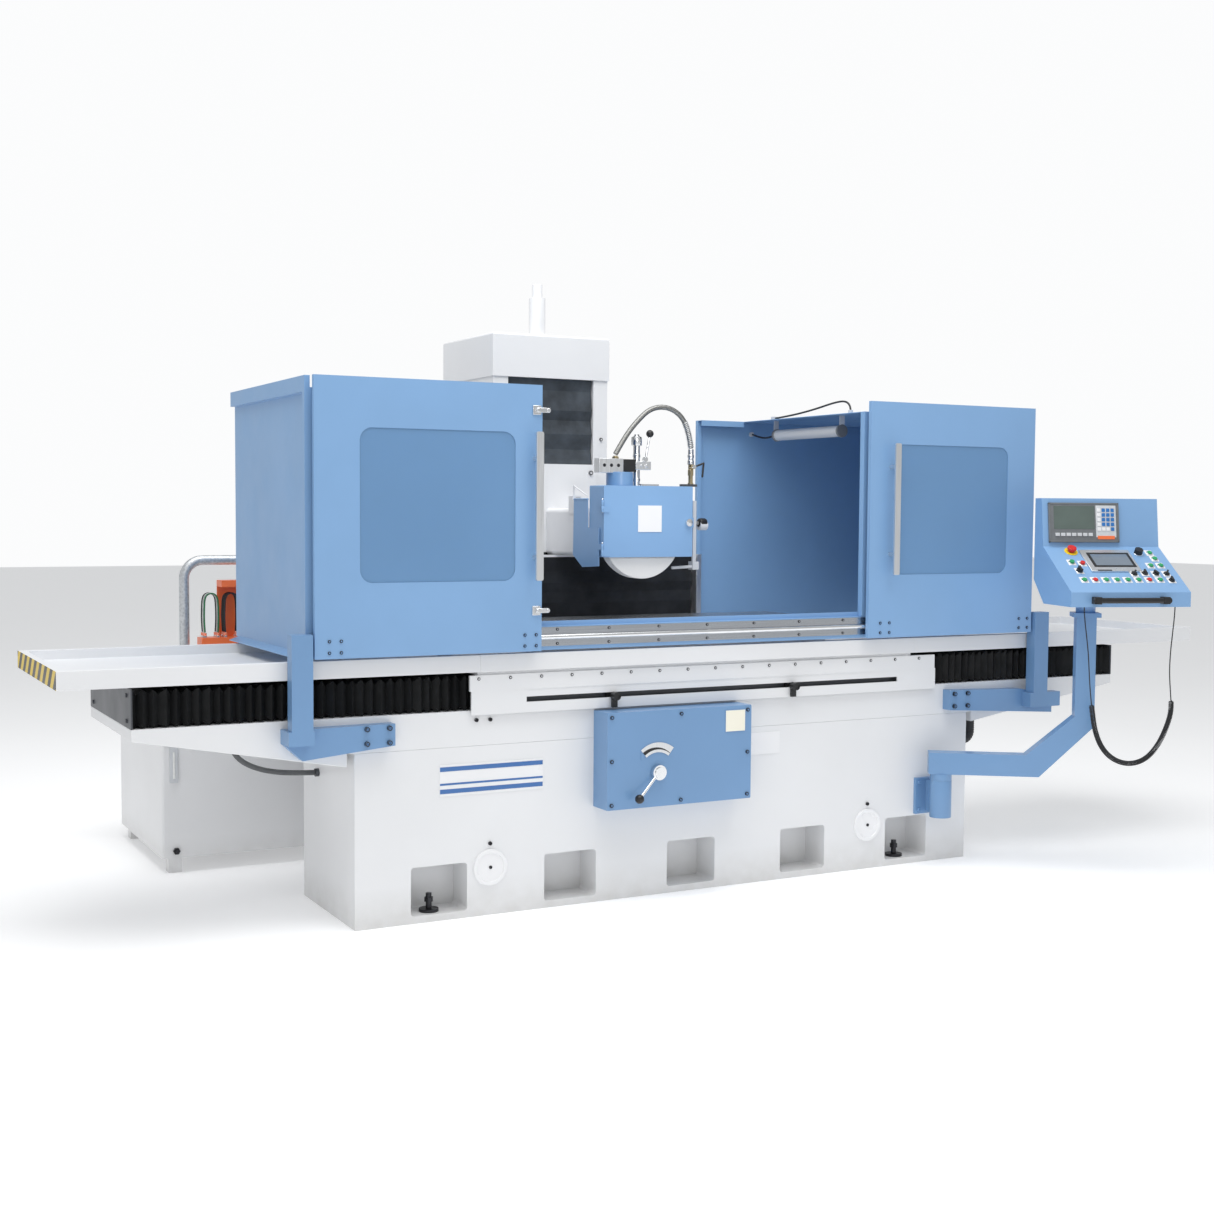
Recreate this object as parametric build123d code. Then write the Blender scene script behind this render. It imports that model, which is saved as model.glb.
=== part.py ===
from build123d import *
import math
import os

# Column-type surface grinder, in millimetres. X runs along the table with right as +X,
# Y runs from the operator (front) to the column (back), and Z is up.
# Shapes are drawn with Y = 0 on the front face of the bed and X = 0 at the base's middle.
# save() then moves them back so that the origin is the centre of the base's footprint.

# ---- driving dimensions -------------------------------------------------------------
BASE_LENGTH = 3070
BASE_DEPTH = 2300
LEG_DEPTH = 660            # the part of the base under the bed
BASE_HEIGHT = 700
BED_LEFT, BED_RIGHT = -2385, 2475
BED_DEPTH = 800
BED_TOP = 845
WAY_HEIGHT = 45

TABLE_LEFT, TABLE_RIGHT = -2652, 2988
TABLE_FRONT, TABLE_BACK = -44, 896
TABLE_UNDERSIDE, TABLE_TOP = 1004, 1074
CASTING_LEFT, CASTING_RIGHT = -1020, 1180
CHUCK_TOP = 1165

DOOR_BOTTOM, DOOR_TOP = 1085, 2157
ROOF_TOP = 2112
DOOR_FACE = -96            # outer face of the sliding doors
DOOR_DEPTH = 20
LEFT_DOOR = (-1723, -774)
RIGHT_DOOR = (869, 1844)
ENCLOSURE_BACK = 1013
SHEET = 3

COLUMN_LEFT, COLUMN_RIGHT = -438, 182
COLUMN_FRONT, COLUMN_BACK = 1150, 1770
COLUMN_SHOULDER = 2300     # underside of the cast cap
COLUMN_TOP = 2510
SLIDE_LEFT, SLIDE_RIGHT = -356, 100
SADDLE_BOTTOM, SADDLE_TOP = 1452, 1882

WHEEL_X, WHEEL_Z = 15, 1548
WHEEL_DIAMETER = 406
WHEEL_WIDTH = 60
WHEEL_FRONT = 480
GUARD_LEFT, GUARD_RIGHT = -203, 263
GUARD_BOTTOM, GUARD_TOP = 1445, 1770
GUARD_FRONT, GUARD_BACK = 463, 591
HOSE_LINE = 520            # Y of the coolant fittings above the guard

ARM_PIVOT = (1295, -110)
ARM_REACH = 638
ARM_TURN = -36
CONSOLE_TURN = -19
CONSOLE_LEFT, CONSOLE_RIGHT = -180, 390

STATION_Y = 1500           # hydraulic station behind the left end of the bed


# ---- drawing helpers ----------------------------------------------------------------
def block(x, y, z):
    """Box from three (low, high) pairs."""
    size = [high - low for low, high in (x, y, z)]
    middle = [(high + low) / 2 for low, high in (x, y, z)]
    return Pos(*middle) * Box(*size)


def rounded(shape, axis, radius):
    """Round every edge that runs along one axis."""
    return fillet(shape.edges().filter_by(axis), radius)


def rod(start, end, diameter):
    """Round bar between two points."""
    run = Vector(*end) - Vector(*start)
    return extrude(Plane(origin=start, z_dir=run) * Circle(diameter / 2), run.length)


def tube(start, end, outer, inner):
    return rod(start, end, outer) - rod(start, end, inner)


def profile_y(points, y_low, y_high):
    """Polygon of (x, z) points, extruded along Y."""
    outline = Polyline(*[(x, y_low, z) for x, z in points], close=True)
    return extrude(make_face(outline), y_high - y_low, dir=(0, 1, 0))


def profile_x(points, x_low, x_high):
    """Polygon of (y, z) points, extruded along X."""
    outline = Polyline(*[(x_low, y, z) for y, z in points], close=True)
    return extrude(make_face(outline), x_high - x_low, dir=(1, 0, 0))


def cord(points, radii, diameter):
    """Round cord along straight runs joined by arcs."""
    path = FilletPolyline(*points, radius=radii)
    start = Plane(origin=path @ 0, z_dir=path % 0)
    return sweep(start * Circle(diameter / 2), path=path)


def bend_radii(points):
    """Largest radius each corner takes: 0.45 of the shorter run over tan(half the turn)."""
    spots = [Vector(*point) for point in points]
    radii = []
    for before, corner, after in zip(spots, spots[1:], spots[2:]):
        arriving, leaving = corner - before, after - corner
        half_turn = math.radians(arriving.get_angle(leaving)) / 2
        radii.append(0.45 * min(arriving.length, leaving.length) / math.tan(half_turn))
    return radii


def screw_head(x, y, z, diameter=16, height=6):
    """Cap-screw head standing off a face that looks towards the operator."""
    head = rod((x, y, z), (x, y - height, z), diameter)
    return head - rod((x, y - height / 2, z), (x, y - height - 1, z), diameter * 0.45)


def save(name, *shapes):
    """Move a part to the machine's origin and write it."""
    part = Compound(children=[solid for shape in shapes for solid in shape.solids()])
    os.makedirs("parts", exist_ok=True)
    export_step(Pos(0, -BASE_DEPTH / 2, 0) * part, f"parts/{name}.step")


# ---- base and bed -------------------------------------------------------------------
POCKET_PITCH = 590
POCKET = (243, 150, 197)   # width, depth and height of a levelling pocket
POCKET_FLOOR = 30


def pocket_centres():
    return [POCKET_PITCH * step for step in (-2, -1, 0, 1, 2)]


def base():
    """T-shaped casting: the leg under the bed, and the foot that carries the column."""
    half = BASE_LENGTH / 2
    leg = block((-half, half), (0, LEG_DEPTH), (0, BASE_HEIGHT))
    foot = block((-650, 400), (LEG_DEPTH, BASE_DEPTH), (0, BASE_HEIGHT - 60))
    for x in pocket_centres():
        width, depth, height = POCKET
        hollow = block((x - width / 2, x + width / 2), (-1, depth), (POCKET_FLOOR, POCKET_FLOOR + height))
        leg -= rounded(hollow, Axis.Y, 14)
    for x in (-500, 250):
        foot += block((x - 60, x + 60), (LEG_DEPTH + 200, BASE_DEPTH - 20), (BASE_HEIGHT - 61, BASE_HEIGHT))
    return leg + foot


def levelling_bolts():
    """Jacking screw, nut and pad in the outer pockets."""
    bolts = []
    for x in (pocket_centres()[0] - 22, pocket_centres()[-1] - 22):
        bolts.append(rod((x, 60, POCKET_FLOOR), (x, 60, POCKET_FLOOR + 12), 80))
        bolts.append(rod((x, 60, POCKET_FLOOR + 12), (x, 60, POCKET_FLOOR + 75), 24))
        nut = extrude(Pos(x, 60, POCKET_FLOOR + 40) * RegularPolygon(19, 6), 18)
        bolts.append(nut - rod((x, 60, 0), (x, 60, 200), 24))
    return bolts


def lifting_plates():
    """Round covers over the lifting-bar holes, each with its locking screw."""
    plates = []
    for x, z in ((-958, 198), (952, 206)):
        disc = rod((x, 0, z), (x, -10, z), 150)
        plates.append(disc - rod((x, -6, z), (x, -11, z), 118))
        plates.append(rod((x, 0, z + 98), (x, -8, z + 98), 16))
    return plates


def plates_and_labels():
    """Plain plates: three-stripe badge, blank notice plates, joint-cover strips."""
    plates = [block((-1180, -720), (-3, 0), (505, 632))]
    for z in (614, 553, 524):
        plates.append(block((-1178, -722), (-5, -3), (z - 8, z + 8)))
    plates.append(block((291, 457), (-3, 0), (576, 674)))
    plates.append(rod((-1020, 0, 806), (-1020, -9, 806), 16))
    plates.append(rod((-959, 0, 805), (-959, -9, 805), 16))
    return plates


def wing_profile():
    """Bed seen from the front: a bar whose ends thin out beyond the base."""
    half = BASE_LENGTH / 2
    return [
        (BED_LEFT, BED_TOP),
        (BED_LEFT, BED_TOP - 45),
        (-half - 30, 650),
        (-half - 30, BASE_HEIGHT + 5),
        (-half, BASE_HEIGHT),
        (half, BASE_HEIGHT),
        (half + 30, BASE_HEIGHT + 5),
        (half + 30, 655),
        (BED_RIGHT, BED_TOP - 45),
        (BED_RIGHT, BED_TOP),
    ]


def vee(y, z, half_width, height, x_low, x_high):
    """V guideway prism."""
    points = [(y - half_width, z), (y - 12, z + height), (y + 12, z + height), (y + half_width, z)]
    return profile_x(points, x_low, x_high)


def bed():
    body = profile_y(wing_profile(), 0, BED_DEPTH)
    body += vee(170, BED_TOP, 60, WAY_HEIGHT, BED_LEFT + 12, BED_RIGHT - 12)
    flat = block((BED_LEFT + 12, BED_RIGHT - 12), (570, 690), (BED_TOP, BED_TOP + WAY_HEIGHT))
    return body + flat


def bed_end_plates():
    """Plates that close the bellows at both ends of the bed."""
    plates = []
    for x in (BED_LEFT, BED_RIGHT - 6):
        plate = block((x, x + 6), (0, BED_DEPTH), (BED_TOP, BED_TOP + 148))
        plates.append(plate)
        outward = -1 if x == BED_LEFT else 1
        face = x if outward < 0 else x + 6
        for y in (70, BED_DEPTH - 70):
            for z in (BED_TOP + 25, BED_TOP + 120):
                plates.append(rod((face, y, z), (face + 6 * outward, y, z), 16))
    return plates


# ---- table --------------------------------------------------------------------------
def table():
    """Casting on the ways with its top plate and the two long end covers."""
    casting = block((CASTING_LEFT, CASTING_RIGHT), (-14, 790), (BED_TOP + 5, TABLE_UNDERSIDE))
    casting -= vee(170, BED_TOP - 1, 61.5, WAY_HEIGHT + 1.5, CASTING_LEFT - 1, CASTING_RIGHT + 1)
    casting -= block((CASTING_LEFT - 1, CASTING_RIGHT + 1), (569, 691), (BED_TOP, BED_TOP + WAY_HEIGHT + 0.5))
    casting -= block((CASTING_LEFT - 1, CASTING_RIGHT + 1), (240, 560), (BED_TOP, BED_TOP + 100))
    casting -= block((SLOT[0] - 30, SLOT[1] + 30), (-15, 12), (858, 906))
    top = block((CASTING_LEFT, CASTING_RIGHT), (TABLE_FRONT, TABLE_BACK), (TABLE_UNDERSIDE, TABLE_TOP))
    top -= block((CASTING_LEFT - 1, CASTING_RIGHT + 1), (0, 850), (TABLE_TOP - 24, TABLE_TOP + 1))
    return casting + top


def end_cover(x_low, x_high):
    """Tray with a raised rim, open where it meets the table."""
    tray = block((x_low, x_high), (TABLE_FRONT, TABLE_BACK), (TABLE_UNDERSIDE, TABLE_TOP))
    inner_low = x_low if x_low == CASTING_RIGHT else x_low + 30
    inner_high = x_high if x_high == CASTING_LEFT else x_high - 30
    inner = block((inner_low - (x_low == CASTING_RIGHT), inner_high + (x_high == CASTING_LEFT)),
                  (TABLE_FRONT + 30, TABLE_BACK - 30), (TABLE_UNDERSIDE + 30, TABLE_TOP + 1))
    return tray - inner


def table_end_covers():
    return end_cover(TABLE_LEFT, CASTING_LEFT), end_cover(CASTING_RIGHT, TABLE_RIGHT)


def magnetic_chuck():
    """Electromagnetic chuck with end stop bars."""
    body = block((-670, 830), (180, 680), (TABLE_TOP - 24, CHUCK_TOP))
    for x in range(-640, 830, 30):
        body -= block((x, x + 4), (200, 660), (CHUCK_TOP - 2, CHUCK_TOP + 1))
    stops = [block((-682, -670.3), (200, 660), (TABLE_TOP - 24, CHUCK_TOP - 10)),
             block((200, 700), (680.3, 692), (TABLE_TOP - 24, CHUCK_TOP - 10))]
    return [body] + stops


SLOT = (-805, 1099)        # travel slot for the reversing dogs


def trip_panel():
    """Front panel of the table: cover strip above, slotted plate below."""
    strip = block((-1058, 1314), (-26, -14), (925, 989))
    lower = block((-1050, 1322), (-22, -14), (828, 925))
    slot = block(SLOT, (-30, -10), (871, 893))
    panel = strip + (lower - slot)
    for x in range(-1020, 1314, 140):
        panel += rod((x, -26, 975), (x, -29, 975), 12)
    return panel


def trip_dog(x):
    """Reversing dog: clamp block behind the panel, stem in the slot, knob in front."""
    clamp = block((x - 22, x + 22), (-13.5, 8), (862, 902))
    stem = rod((x, -13.5, 882), (x, -32, 882), 20)
    knob = rod((x, -26.5, 878), (x, -62, 878), 34)
    knob -= rod((x, -58, 878), (x, -63, 878), 24)
    shoe = block((x - 12, x + 12), (-40, -26.5), (830, 870))
    return clamp + stem + knob + shoe


def bellows_along_x(x_low, x_high, folds):
    """Pleated cover over the ways: top and two skirts."""
    pitch = (x_high - x_low) / folds
    front, back, low, high = 8, 786, BED_TOP + 1, BED_TOP + 143
    plain = block((x_low, x_high), (front + 8, back - 8), (low, high - 8))
    cover = plain
    for step in range(folds):
        x = x_low + pitch * (step + 0.5)
        cover += block((x - pitch * 0.3, x + pitch * 0.3), (front, back), (low, high))
    return cover - block((x_low - 1, x_high + 1), (front + 16, back - 16), (low - 1, high - 16))


# ---- enclosure ----------------------------------------------------------------------
WINDOW_Z = (1372, 1966)
LEFT_WINDOW = (-1543, -892)
RIGHT_WINDOW = (1007, 1678)


def door(span, window):
    """Sheet-metal pan with a round-cornered window opening."""
    pan = block(span, (DOOR_FACE, DOOR_FACE + DOOR_DEPTH), (DOOR_BOTTOM, DOOR_TOP))
    inside = (span[0] + 12, span[1] - 12)
    pan -= block(inside, (DOOR_FACE + SHEET, DOOR_FACE + DOOR_DEPTH + 1), (DOOR_BOTTOM + 12, DOOR_TOP - 12))
    opening = block(window, (DOOR_FACE - 1, DOOR_FACE + DOOR_DEPTH), WINDOW_Z)
    return pan - rounded(opening, Axis.Y, 50)


def door_screws(columns):
    """Four-screw patterns at the lower corners, holding the rollers behind."""
    heads = []
    for left, right in columns:
        for x in (left, right):
            for z in (1108, 1152):
                heads.append(screw_head(x, DOOR_FACE, z, 12, 4))
    return heads


def door_latch(x, z):
    """Chrome toggle catch at the closing edge."""
    plate = block((x - 26, x + 8), (DOOR_FACE - 4, DOOR_FACE), (z - 18, z + 18))
    hook = block((x - 14, x + 42), (DOOR_FACE - 14, DOOR_FACE - 4), (z - 8, z + 8))
    return plate + hook


def window_pane(window):
    """Clear sheet screwed behind the door skin."""
    low, high = window
    pane = block((low - 25, high + 25), (DOOR_FACE + SHEET, DOOR_FACE + SHEET + 5),
                 (WINDOW_Z[0] - 25, WINDOW_Z[1] + 25))
    return rounded(pane, Axis.Y, 60)


def door_handle(x):
    """Flat bar on two round stand-offs."""
    bar = rounded(block((x - 16, x + 16), (-150, -140), (1373, 1968)), Axis.Y, 8)
    posts = [rod((x, DOOR_FACE, z), (x, -140, z), 18) for z in (1466, 1862)]
    return [bar + posts[0] + posts[1]]


def side_wall(x, outward):
    """End wall of the enclosure with a recessed field and a flared lower edge."""
    low, high = sorted((x, x + outward * SHEET))
    wall = block((low, high), (-50, ENCLOSURE_BACK), (1096, DOOR_TOP))
    strip_low, strip_high = sorted((x, x + outward * 22))
    wall += block((strip_low, strip_high), (-50, ENCLOSURE_BACK), (2095, DOOR_TOP))
    wall += block((strip_low, strip_high), (-50, -22), (1096, 2095))
    flare = [(x, 1100), (x + outward * 45, 1084), (x + outward * 45, 1081), (x, 1096)]
    return wall + profile_y(flare, -50, ENCLOSURE_BACK - 40)


def enclosure_box(outer, inner, outward, back_edge):
    """Fixed half of the enclosure: end wall, front panel, roof and back panel."""
    low, high = sorted((outer, inner))
    box = side_wall(outer, outward)
    box += block((low, high), (-50, -50 + SHEET), (1182, ROOF_TOP))
    box += block((low, high), (-50, ENCLOSURE_BACK), (ROOF_TOP - SHEET, ROOF_TOP))
    edge_low, edge_high = sorted((inner, inner + outward * 25))
    box += block((edge_low, edge_high), (-50, -20), (1182, ROOF_TOP))
    back_low, back_high = sorted((outer, back_edge))
    box += block((back_low, back_high), (ENCLOSURE_BACK - SHEET, ENCLOSURE_BACK), (1096, ROOF_TOP))
    rim_low, rim_high = sorted((back_edge, back_edge + outward * 20))
    box += block((rim_low, rim_high), (ENCLOSURE_BACK - 24, ENCLOSURE_BACK), (1096, ROOF_TOP))
    ledge = tuple(sorted((back_edge, inner)))
    front = ENCLOSURE_BACK - 60
    box += block(ledge, (front, ENCLOSURE_BACK), (ROOF_TOP - SHEET, ROOF_TOP))
    box += block(ledge, (front, front + 4), (ROOF_TOP - 28, ROOF_TOP))
    return box


def enclosure_left():
    return enclosure_box(LEFT_DOOR[0], LEFT_DOOR[1] + 4, -1, -845)


def enclosure_right():
    return enclosure_box(RIGHT_DOOR[1], RIGHT_DOOR[0] - 4, 1, 615)


def front_beam():
    """Lower front beam that carries the doors, with its drip lip and sill."""
    low, high = LEFT_DOOR[0], RIGHT_DOOR[1]
    beam = block((low, high), (-50, -10), (1084, 1181))
    beam -= block((low + 4, high - 4), (-47, -9), (1087, 1178))
    lip = block((LEFT_DOOR[1] + 5, RIGHT_DOOR[0] - 5), (-24, -20), (1180, 1201))
    slope = [(-20, 1198), (110, 1180), (110, 1177), (-20, 1195)]
    sill = profile_x(slope, LEFT_DOOR[1] + 5, RIGHT_DOOR[0] - 5)
    return beam + lip + sill


RAIL_SCREWS = (1168, 1110)


def door_rails():
    """Wear strip with a polished guide bar along its middle and screws above and below it."""
    low, high = LEFT_DOOR[0] + 20, RIGHT_DOOR[1] - 20
    rail = block((low, high), (-56, -50), (1100, 1178))
    rail += rod((low, -62, 1138), (high, -62, 1138), 20)
    heads = []
    for x in range(low + 60, high, 240):
        for z in RAIL_SCREWS:
            heads.append(rod((x, -56, z), (x, -59, z), 11))
    return [rail] + heads


def enclosure_posts():
    """Posts outside the ends of the enclosure and the brackets that bolt them to the bed."""
    left = profile_y([(-1829, 815), (-1385, 818), (-1385, 732), (-1758, 695), (-1829, 760)], -52, 0)
    left += block((-1829, -1728), (-108, -52), (760, 815))
    left += block((-1816, -1733), (-108, -52), (790, 1180))
    right = profile_y([(1390, 818), (1826, 806), (2030, 770), (2030, 682), (1390, 724)], -52, 0)
    right += block((1840, 2030), (-108, -52), (720, 790))
    right += block((1860, 1947), (-108, -52), (780, 1180))
    left += block((-1800, -1724), (-52, -50), (1120, 1176))
    right += block((1845, 1900), (-52, -50), (1120, 1176))
    return left, right


def bracket_bolts():
    heads = []
    for x in (-1410, -1502):
        for z in (802, 745):
            heads.append(screw_head(x, -52, z, 20, 12))
    for x in (1415, 1495):
        for z in (800, 742):
            heads.append(screw_head(x, -52, z, 20, 12))
    return heads


# ---- operator's controls on the base ------------------------------------------------
BOX_FACE = -124            # front of the control box
LEVER = (-244, 557)        # x and z of the speed lever's shaft


def control_box():
    """Box on the front of the base with a screwed cover and the speed dial plate."""
    body = block((-483, 225), (BOX_FACE + 4, 0), (410, 818))
    body -= block((-479, 221), (BOX_FACE + 8, -4), (414, 814))
    cover = rounded(block((-483, 225), (BOX_FACE, BOX_FACE + 4), (410, 818)), Axis.Y, 6)
    body += cover
    for x in (-463, -129, 205):
        for z in (430, 798):
            body += screw_head(x, BOX_FACE, z, 16, 6)
    for x in (-463, 205):
        body += screw_head(x, BOX_FACE, 614, 16, 6)
    x, z = LEVER
    ring = rod((x, BOX_FACE, z), (x, BOX_FACE - 2, z), 250)
    ring -= rod((x, BOX_FACE + 1, z), (x, BOX_FACE - 3, z), 190)
    dial = ring & block((x - 80, x + 62), (BOX_FACE - 3, BOX_FACE + 1), (z + 55, z + 130))
    notice = block((91, 193), (BOX_FACE - 2, BOX_FACE), (706, 801))
    body -= rod((x, BOX_FACE - 1, z), (x, BOX_FACE + 20, z), 24.1)
    return [body, dial, notice]


def speed_lever():
    """Hub, slanting arm and ball of the table speed lever."""
    x, z = LEVER
    lever = rod((x, BOX_FACE + 15, z), (x, BOX_FACE - 1, z), 24)
    lever += rod((x, BOX_FACE - 3, z), (x, BOX_FACE - 24, z), 64)
    lever += rod((x, BOX_FACE - 1, z), (x, BOX_FACE - 4, z), 30)
    lever += rod((x, BOX_FACE - 24, z), (x, BOX_FACE - 30, z), 46)
    shaft_end = Vector(x, BOX_FACE - 14, z)
    ball = Vector(x - 109, BOX_FACE - 44, z - 100)
    lever += rod(shaft_end, ball, 13)
    return lever + Plane(origin=ball, z_dir=ball - shaft_end) * Sphere(19)


# ---- lamp and its cables ------------------------------------------------------------
LAMP_X, LAMP_Z = 945, 2038
LAMP_SPAN = (225, 775)


def lamp():
    """Tubular machine lamp on two brackets under the roof."""
    low, high = LAMP_SPAN
    parts = [tube((LAMP_X, low + 14, LAMP_Z), (LAMP_X, high - 14, LAMP_Z), 54, 48)]
    for y, inward in ((low, 1), (high, -1)):
        parts.append(rod((LAMP_X, y, LAMP_Z), (LAMP_X, y + 14 * inward, LAMP_Z), 60))
        hanger = block((LAMP_X - 14, LAMP_X + 14), (y + 2, y + 6), (LAMP_Z + 25, ROOF_TOP - SHEET))
        parts.append(hanger)
    parts.append(rod((890, 90, ROOF_TOP), (890, 90, ROOF_TOP + 14), 22))
    parts.append(block((878, 902), (704, 728), (ROOF_TOP, ROOF_TOP + 14)))
    parts.append(rod((LAMP_X, ENCLOSURE_BACK - SHEET, 2052), (LAMP_X, ENCLOSURE_BACK - SHEET - 12, 2052), 24))
    return parts


ROOF_CABLE = [
    (890, 90, 2128), (890, 95, 2153), (890, 140, 2172), (890, 230, 2166), (890, 350, 2148),
    (890, 470, 2134), (890, 590, 2124), (890, 702, 2118),
]
LAMP_LEAD = [
    (945, 777, 2038), (945, 812, 2034), (945, 870, 2028), (945, 930, 2034), (945, 994, 2051),
]
CABLE_DIAMETER = 9


def lamp_cables():
    cables = []
    for points in (ROOF_CABLE, LAMP_LEAD):
        cables.append(cord(points, bend_radii(points), CABLE_DIAMETER))
    return cables


# ---- coolant tank and hydraulic station behind the bed ------------------------------
TANK_X, TANK_Y, TANK_Z = (-1989, -760), (1312, 2250), (70, 760)


def tank():
    shell = rounded(block(TANK_X, TANK_Y, TANK_Z), Axis.Z, 12)
    inside = [(low + 4, high - 4) for low, high in (TANK_X, TANK_Y, TANK_Z)]
    shell -= block(*inside)
    for x in (TANK_X[0] + 60, TANK_X[1] - 60):
        for y in (TANK_Y[0] + 50, TANK_Y[1] - 50):
            shell += block((x - 30, x + 30), (y - 30, y + 30), (0, TANK_Z[0]))
    return shell


def tank_fittings():
    """Level gauge, filler plug, drain plug and lid on the tank."""
    front = TANK_Y[0]
    gauge = rounded(block((-1956, -1920), (front - 14, front), (416, 576)), Axis.Y, 6)
    gauge -= block((-1946, -1930), (front - 15, front - 6), (436, 556))
    return [
        gauge,
        rod((-1966, front, 613), (-1966, front - 16, 613), 26),
        rod((-1928, front, 103), (-1928, front - 22, 103), 32),
        rounded(block((-1500, -900), (1500, 2100), (TANK_Z[1], TANK_Z[1] + 12)), Axis.Z, 20),
    ]


def supply_pipe():
    """Galvanised pipe from the tank to the back of the enclosure."""
    route = [(-1839, STATION_Y, TANK_Z[1]), (-1839, STATION_Y, 1414), (-1400, STATION_Y, 1414),
             (-1400, ENCLOSURE_BACK, 1414)]
    pipe = cord(route, 85, 46)
    collar = rod((-1839, STATION_Y, TANK_Z[1]), (-1839, STATION_Y, TANK_Z[1] + 20), 90)
    flange = rod((-1400, ENCLOSURE_BACK, 1414), (-1400, ENCLOSURE_BACK + 14, 1414), 90)
    return pipe + collar + flange


STATION_TOP = 1055


def hydraulic_station():
    """Valve block on a stand, with a sheet hood over the right-hand hoses."""
    y = STATION_Y
    parts = block((-1770, -1560), (y - 45, y + 45), (1020, STATION_TOP))
    parts += block((-1620, -1580), (y - 20, y + 20), (TANK_Z[1], 1020))
    parts += block((-1676, -1560), (y + 45, y + 49), (1020, 1320))
    parts += block((-1676, -1560), (y - 45, y + 49), (1290, 1320))
    for x in hose_starts():
        for offset in HOSE_ROWS:
            for socket in (x, x + HOSE_SPAN):
                parts += rod((socket, y + offset, STATION_TOP), (socket, y + offset, STATION_TOP + 22), 15)
    return parts


HOSE_SPAN = 60
HOSE_ROWS = (-25, 0, 25)
HOSE_DIAMETER = 7.5
HOSE_LOOP = [
    (0, 1079), (-4, 1132), (-3, 1188), (0, 1242), (17.6, 1260),
    (42.4, 1260), (60, 1242), (63, 1188), (64, 1132), (60, 1079),
]


def hose_starts():
    return (-1750, -1655)


def hydraulic_hoses():
    """Inverted-U hoses, each from one socket to its neighbour."""
    hoses = []
    for start in hose_starts():
        for offset in HOSE_ROWS:
            points = [(start + x, STATION_Y + offset, z) for x, z in HOSE_LOOP]
            hoses.append(cord(points, bend_radii(points), HOSE_DIAMETER))
    return hoses


BED_HOSE = [
    (-1900, 455, 690), (-1884, 455, 655), (-1845, 455, 620), (-1785, 455, 592),
    (-1715, 455, 575), (-1635, 455, 566), (-1552, 455, 562),
]


def bed_hose():
    """Return hose from the left end of the bed into the base."""
    return cord(BED_HOSE, bend_radii(BED_HOSE), 22)


def conduits():
    """Steel elbow at the right of the base and the glands of the return hose."""
    route = [(1592, 40, 654), (1592, 40, 565), (1535, 40, 565)]
    elbow = cord(route, 40, 40)
    elbow += rod((1536, 40, 565), (1548, 40, 565), 58)
    gland_low = rod((-1535, 455, 562), (-1550, 455, 562), 34)
    gland_high = rod((-1900, 455, 694), (-1900, 455, 708), 34)
    return [elbow, gland_low, gland_high]


# ---- console arm --------------------------------------------------------------------
def arm_bracket():
    """Wall plate, web and pivot sleeve on the right of the base."""
    x, y = ARM_PIVOT
    plate = block((x - 71, x + 71), (-16, 0), (236, 406))
    web = block((x - 12, x + 12), (y + 45, -15), (250, 396))
    sleeve = tube((x, y, 234), (x, y, 408), 100, 60)
    bolts = [screw_head(x + dx, -16, z, 18, 10) for dx in (-52, 52) for z in (256, 386)]
    return [plate + web + sleeve] + bolts


def on_arm(shape):
    return Pos(*ARM_PIVOT, 0) * Rot(0, 0, ARM_TURN) * shape


def swing_arm():
    """Box-section arm: level run, rise at 45 degrees, and post under the console."""
    outline = [
        (-60, 440), (-60, 540), (380, 540), (594, 725),
        (594, 1183), (682, 1183), (682, 680), (440, 440),
    ]
    beam = profile_y(outline, -44, 44)
    beam += rod((0, 0, 408.5), (0, 0, 440), 100)
    beam += rod((0, 0, 240), (0, 0, 409), 59.9)
    beam += block((ARM_REACH - 62, ARM_REACH + 62), (-62, 62), (1183, 1203))
    beam -= rod((ARM_REACH, 0, 1150), (ARM_REACH, 0, 1204), 30.1)
    return on_arm(beam)


# ---- console ------------------------------------------------------------------------
FOLD_Y, FOLD_Z = 74, 1504          # top edge of the sloping desk
DESK_RUN, DESK_DROP = 305, 197
SCREEN_LEAN = 27                   # how far the screen face leans back over its height
CONSOLE_TOP = 1727


def console_place():
    x = ARM_PIVOT[0] + ARM_REACH * math.cos(math.radians(ARM_TURN))
    y = ARM_PIVOT[1] + ARM_REACH * math.sin(math.radians(ARM_TURN))
    return Pos(x, y, 0) * Rot(0, 0, CONSOLE_TURN)


def on_console(*shapes):
    return [console_place() * shape for shape in shapes]


def desk(along, down):
    """Plane on the desk: so far along it, and so far down its slope from the fold."""
    slope = math.hypot(DESK_RUN, DESK_DROP)
    origin = (along, FOLD_Y - DESK_RUN * down / slope, FOLD_Z - DESK_DROP * down / slope)
    return Plane(origin=origin, x_dir=(1, 0, 0), z_dir=(0, -DESK_DROP, DESK_RUN))


def screen(along, height):
    """Plane on the upright face, at a height above the fold."""
    rise = CONSOLE_TOP - FOLD_Z
    y = FOLD_Y + SCREEN_LEAN * height / rise
    return Plane(origin=(along, y, FOLD_Z + height), x_dir=(1, 0, 0), z_dir=(0, -rise, SCREEN_LEAN))


def console_profile(inset):
    """Side view of the console, shrunk by a wall thickness."""
    back, front = 169 - inset, FOLD_Y - DESK_RUN + inset
    return [
        (back, 1349 + inset * 0.6), (back, CONSOLE_TOP - inset),
        (FOLD_Y + SCREEN_LEAN + inset, CONSOLE_TOP - inset),
        (FOLD_Y + inset, FOLD_Z - inset * 0.5), (front, FOLD_Z - DESK_DROP - inset), (front, 1241 + inset),
        (57 + inset * 0.3, 1241 + inset),
    ]


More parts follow.
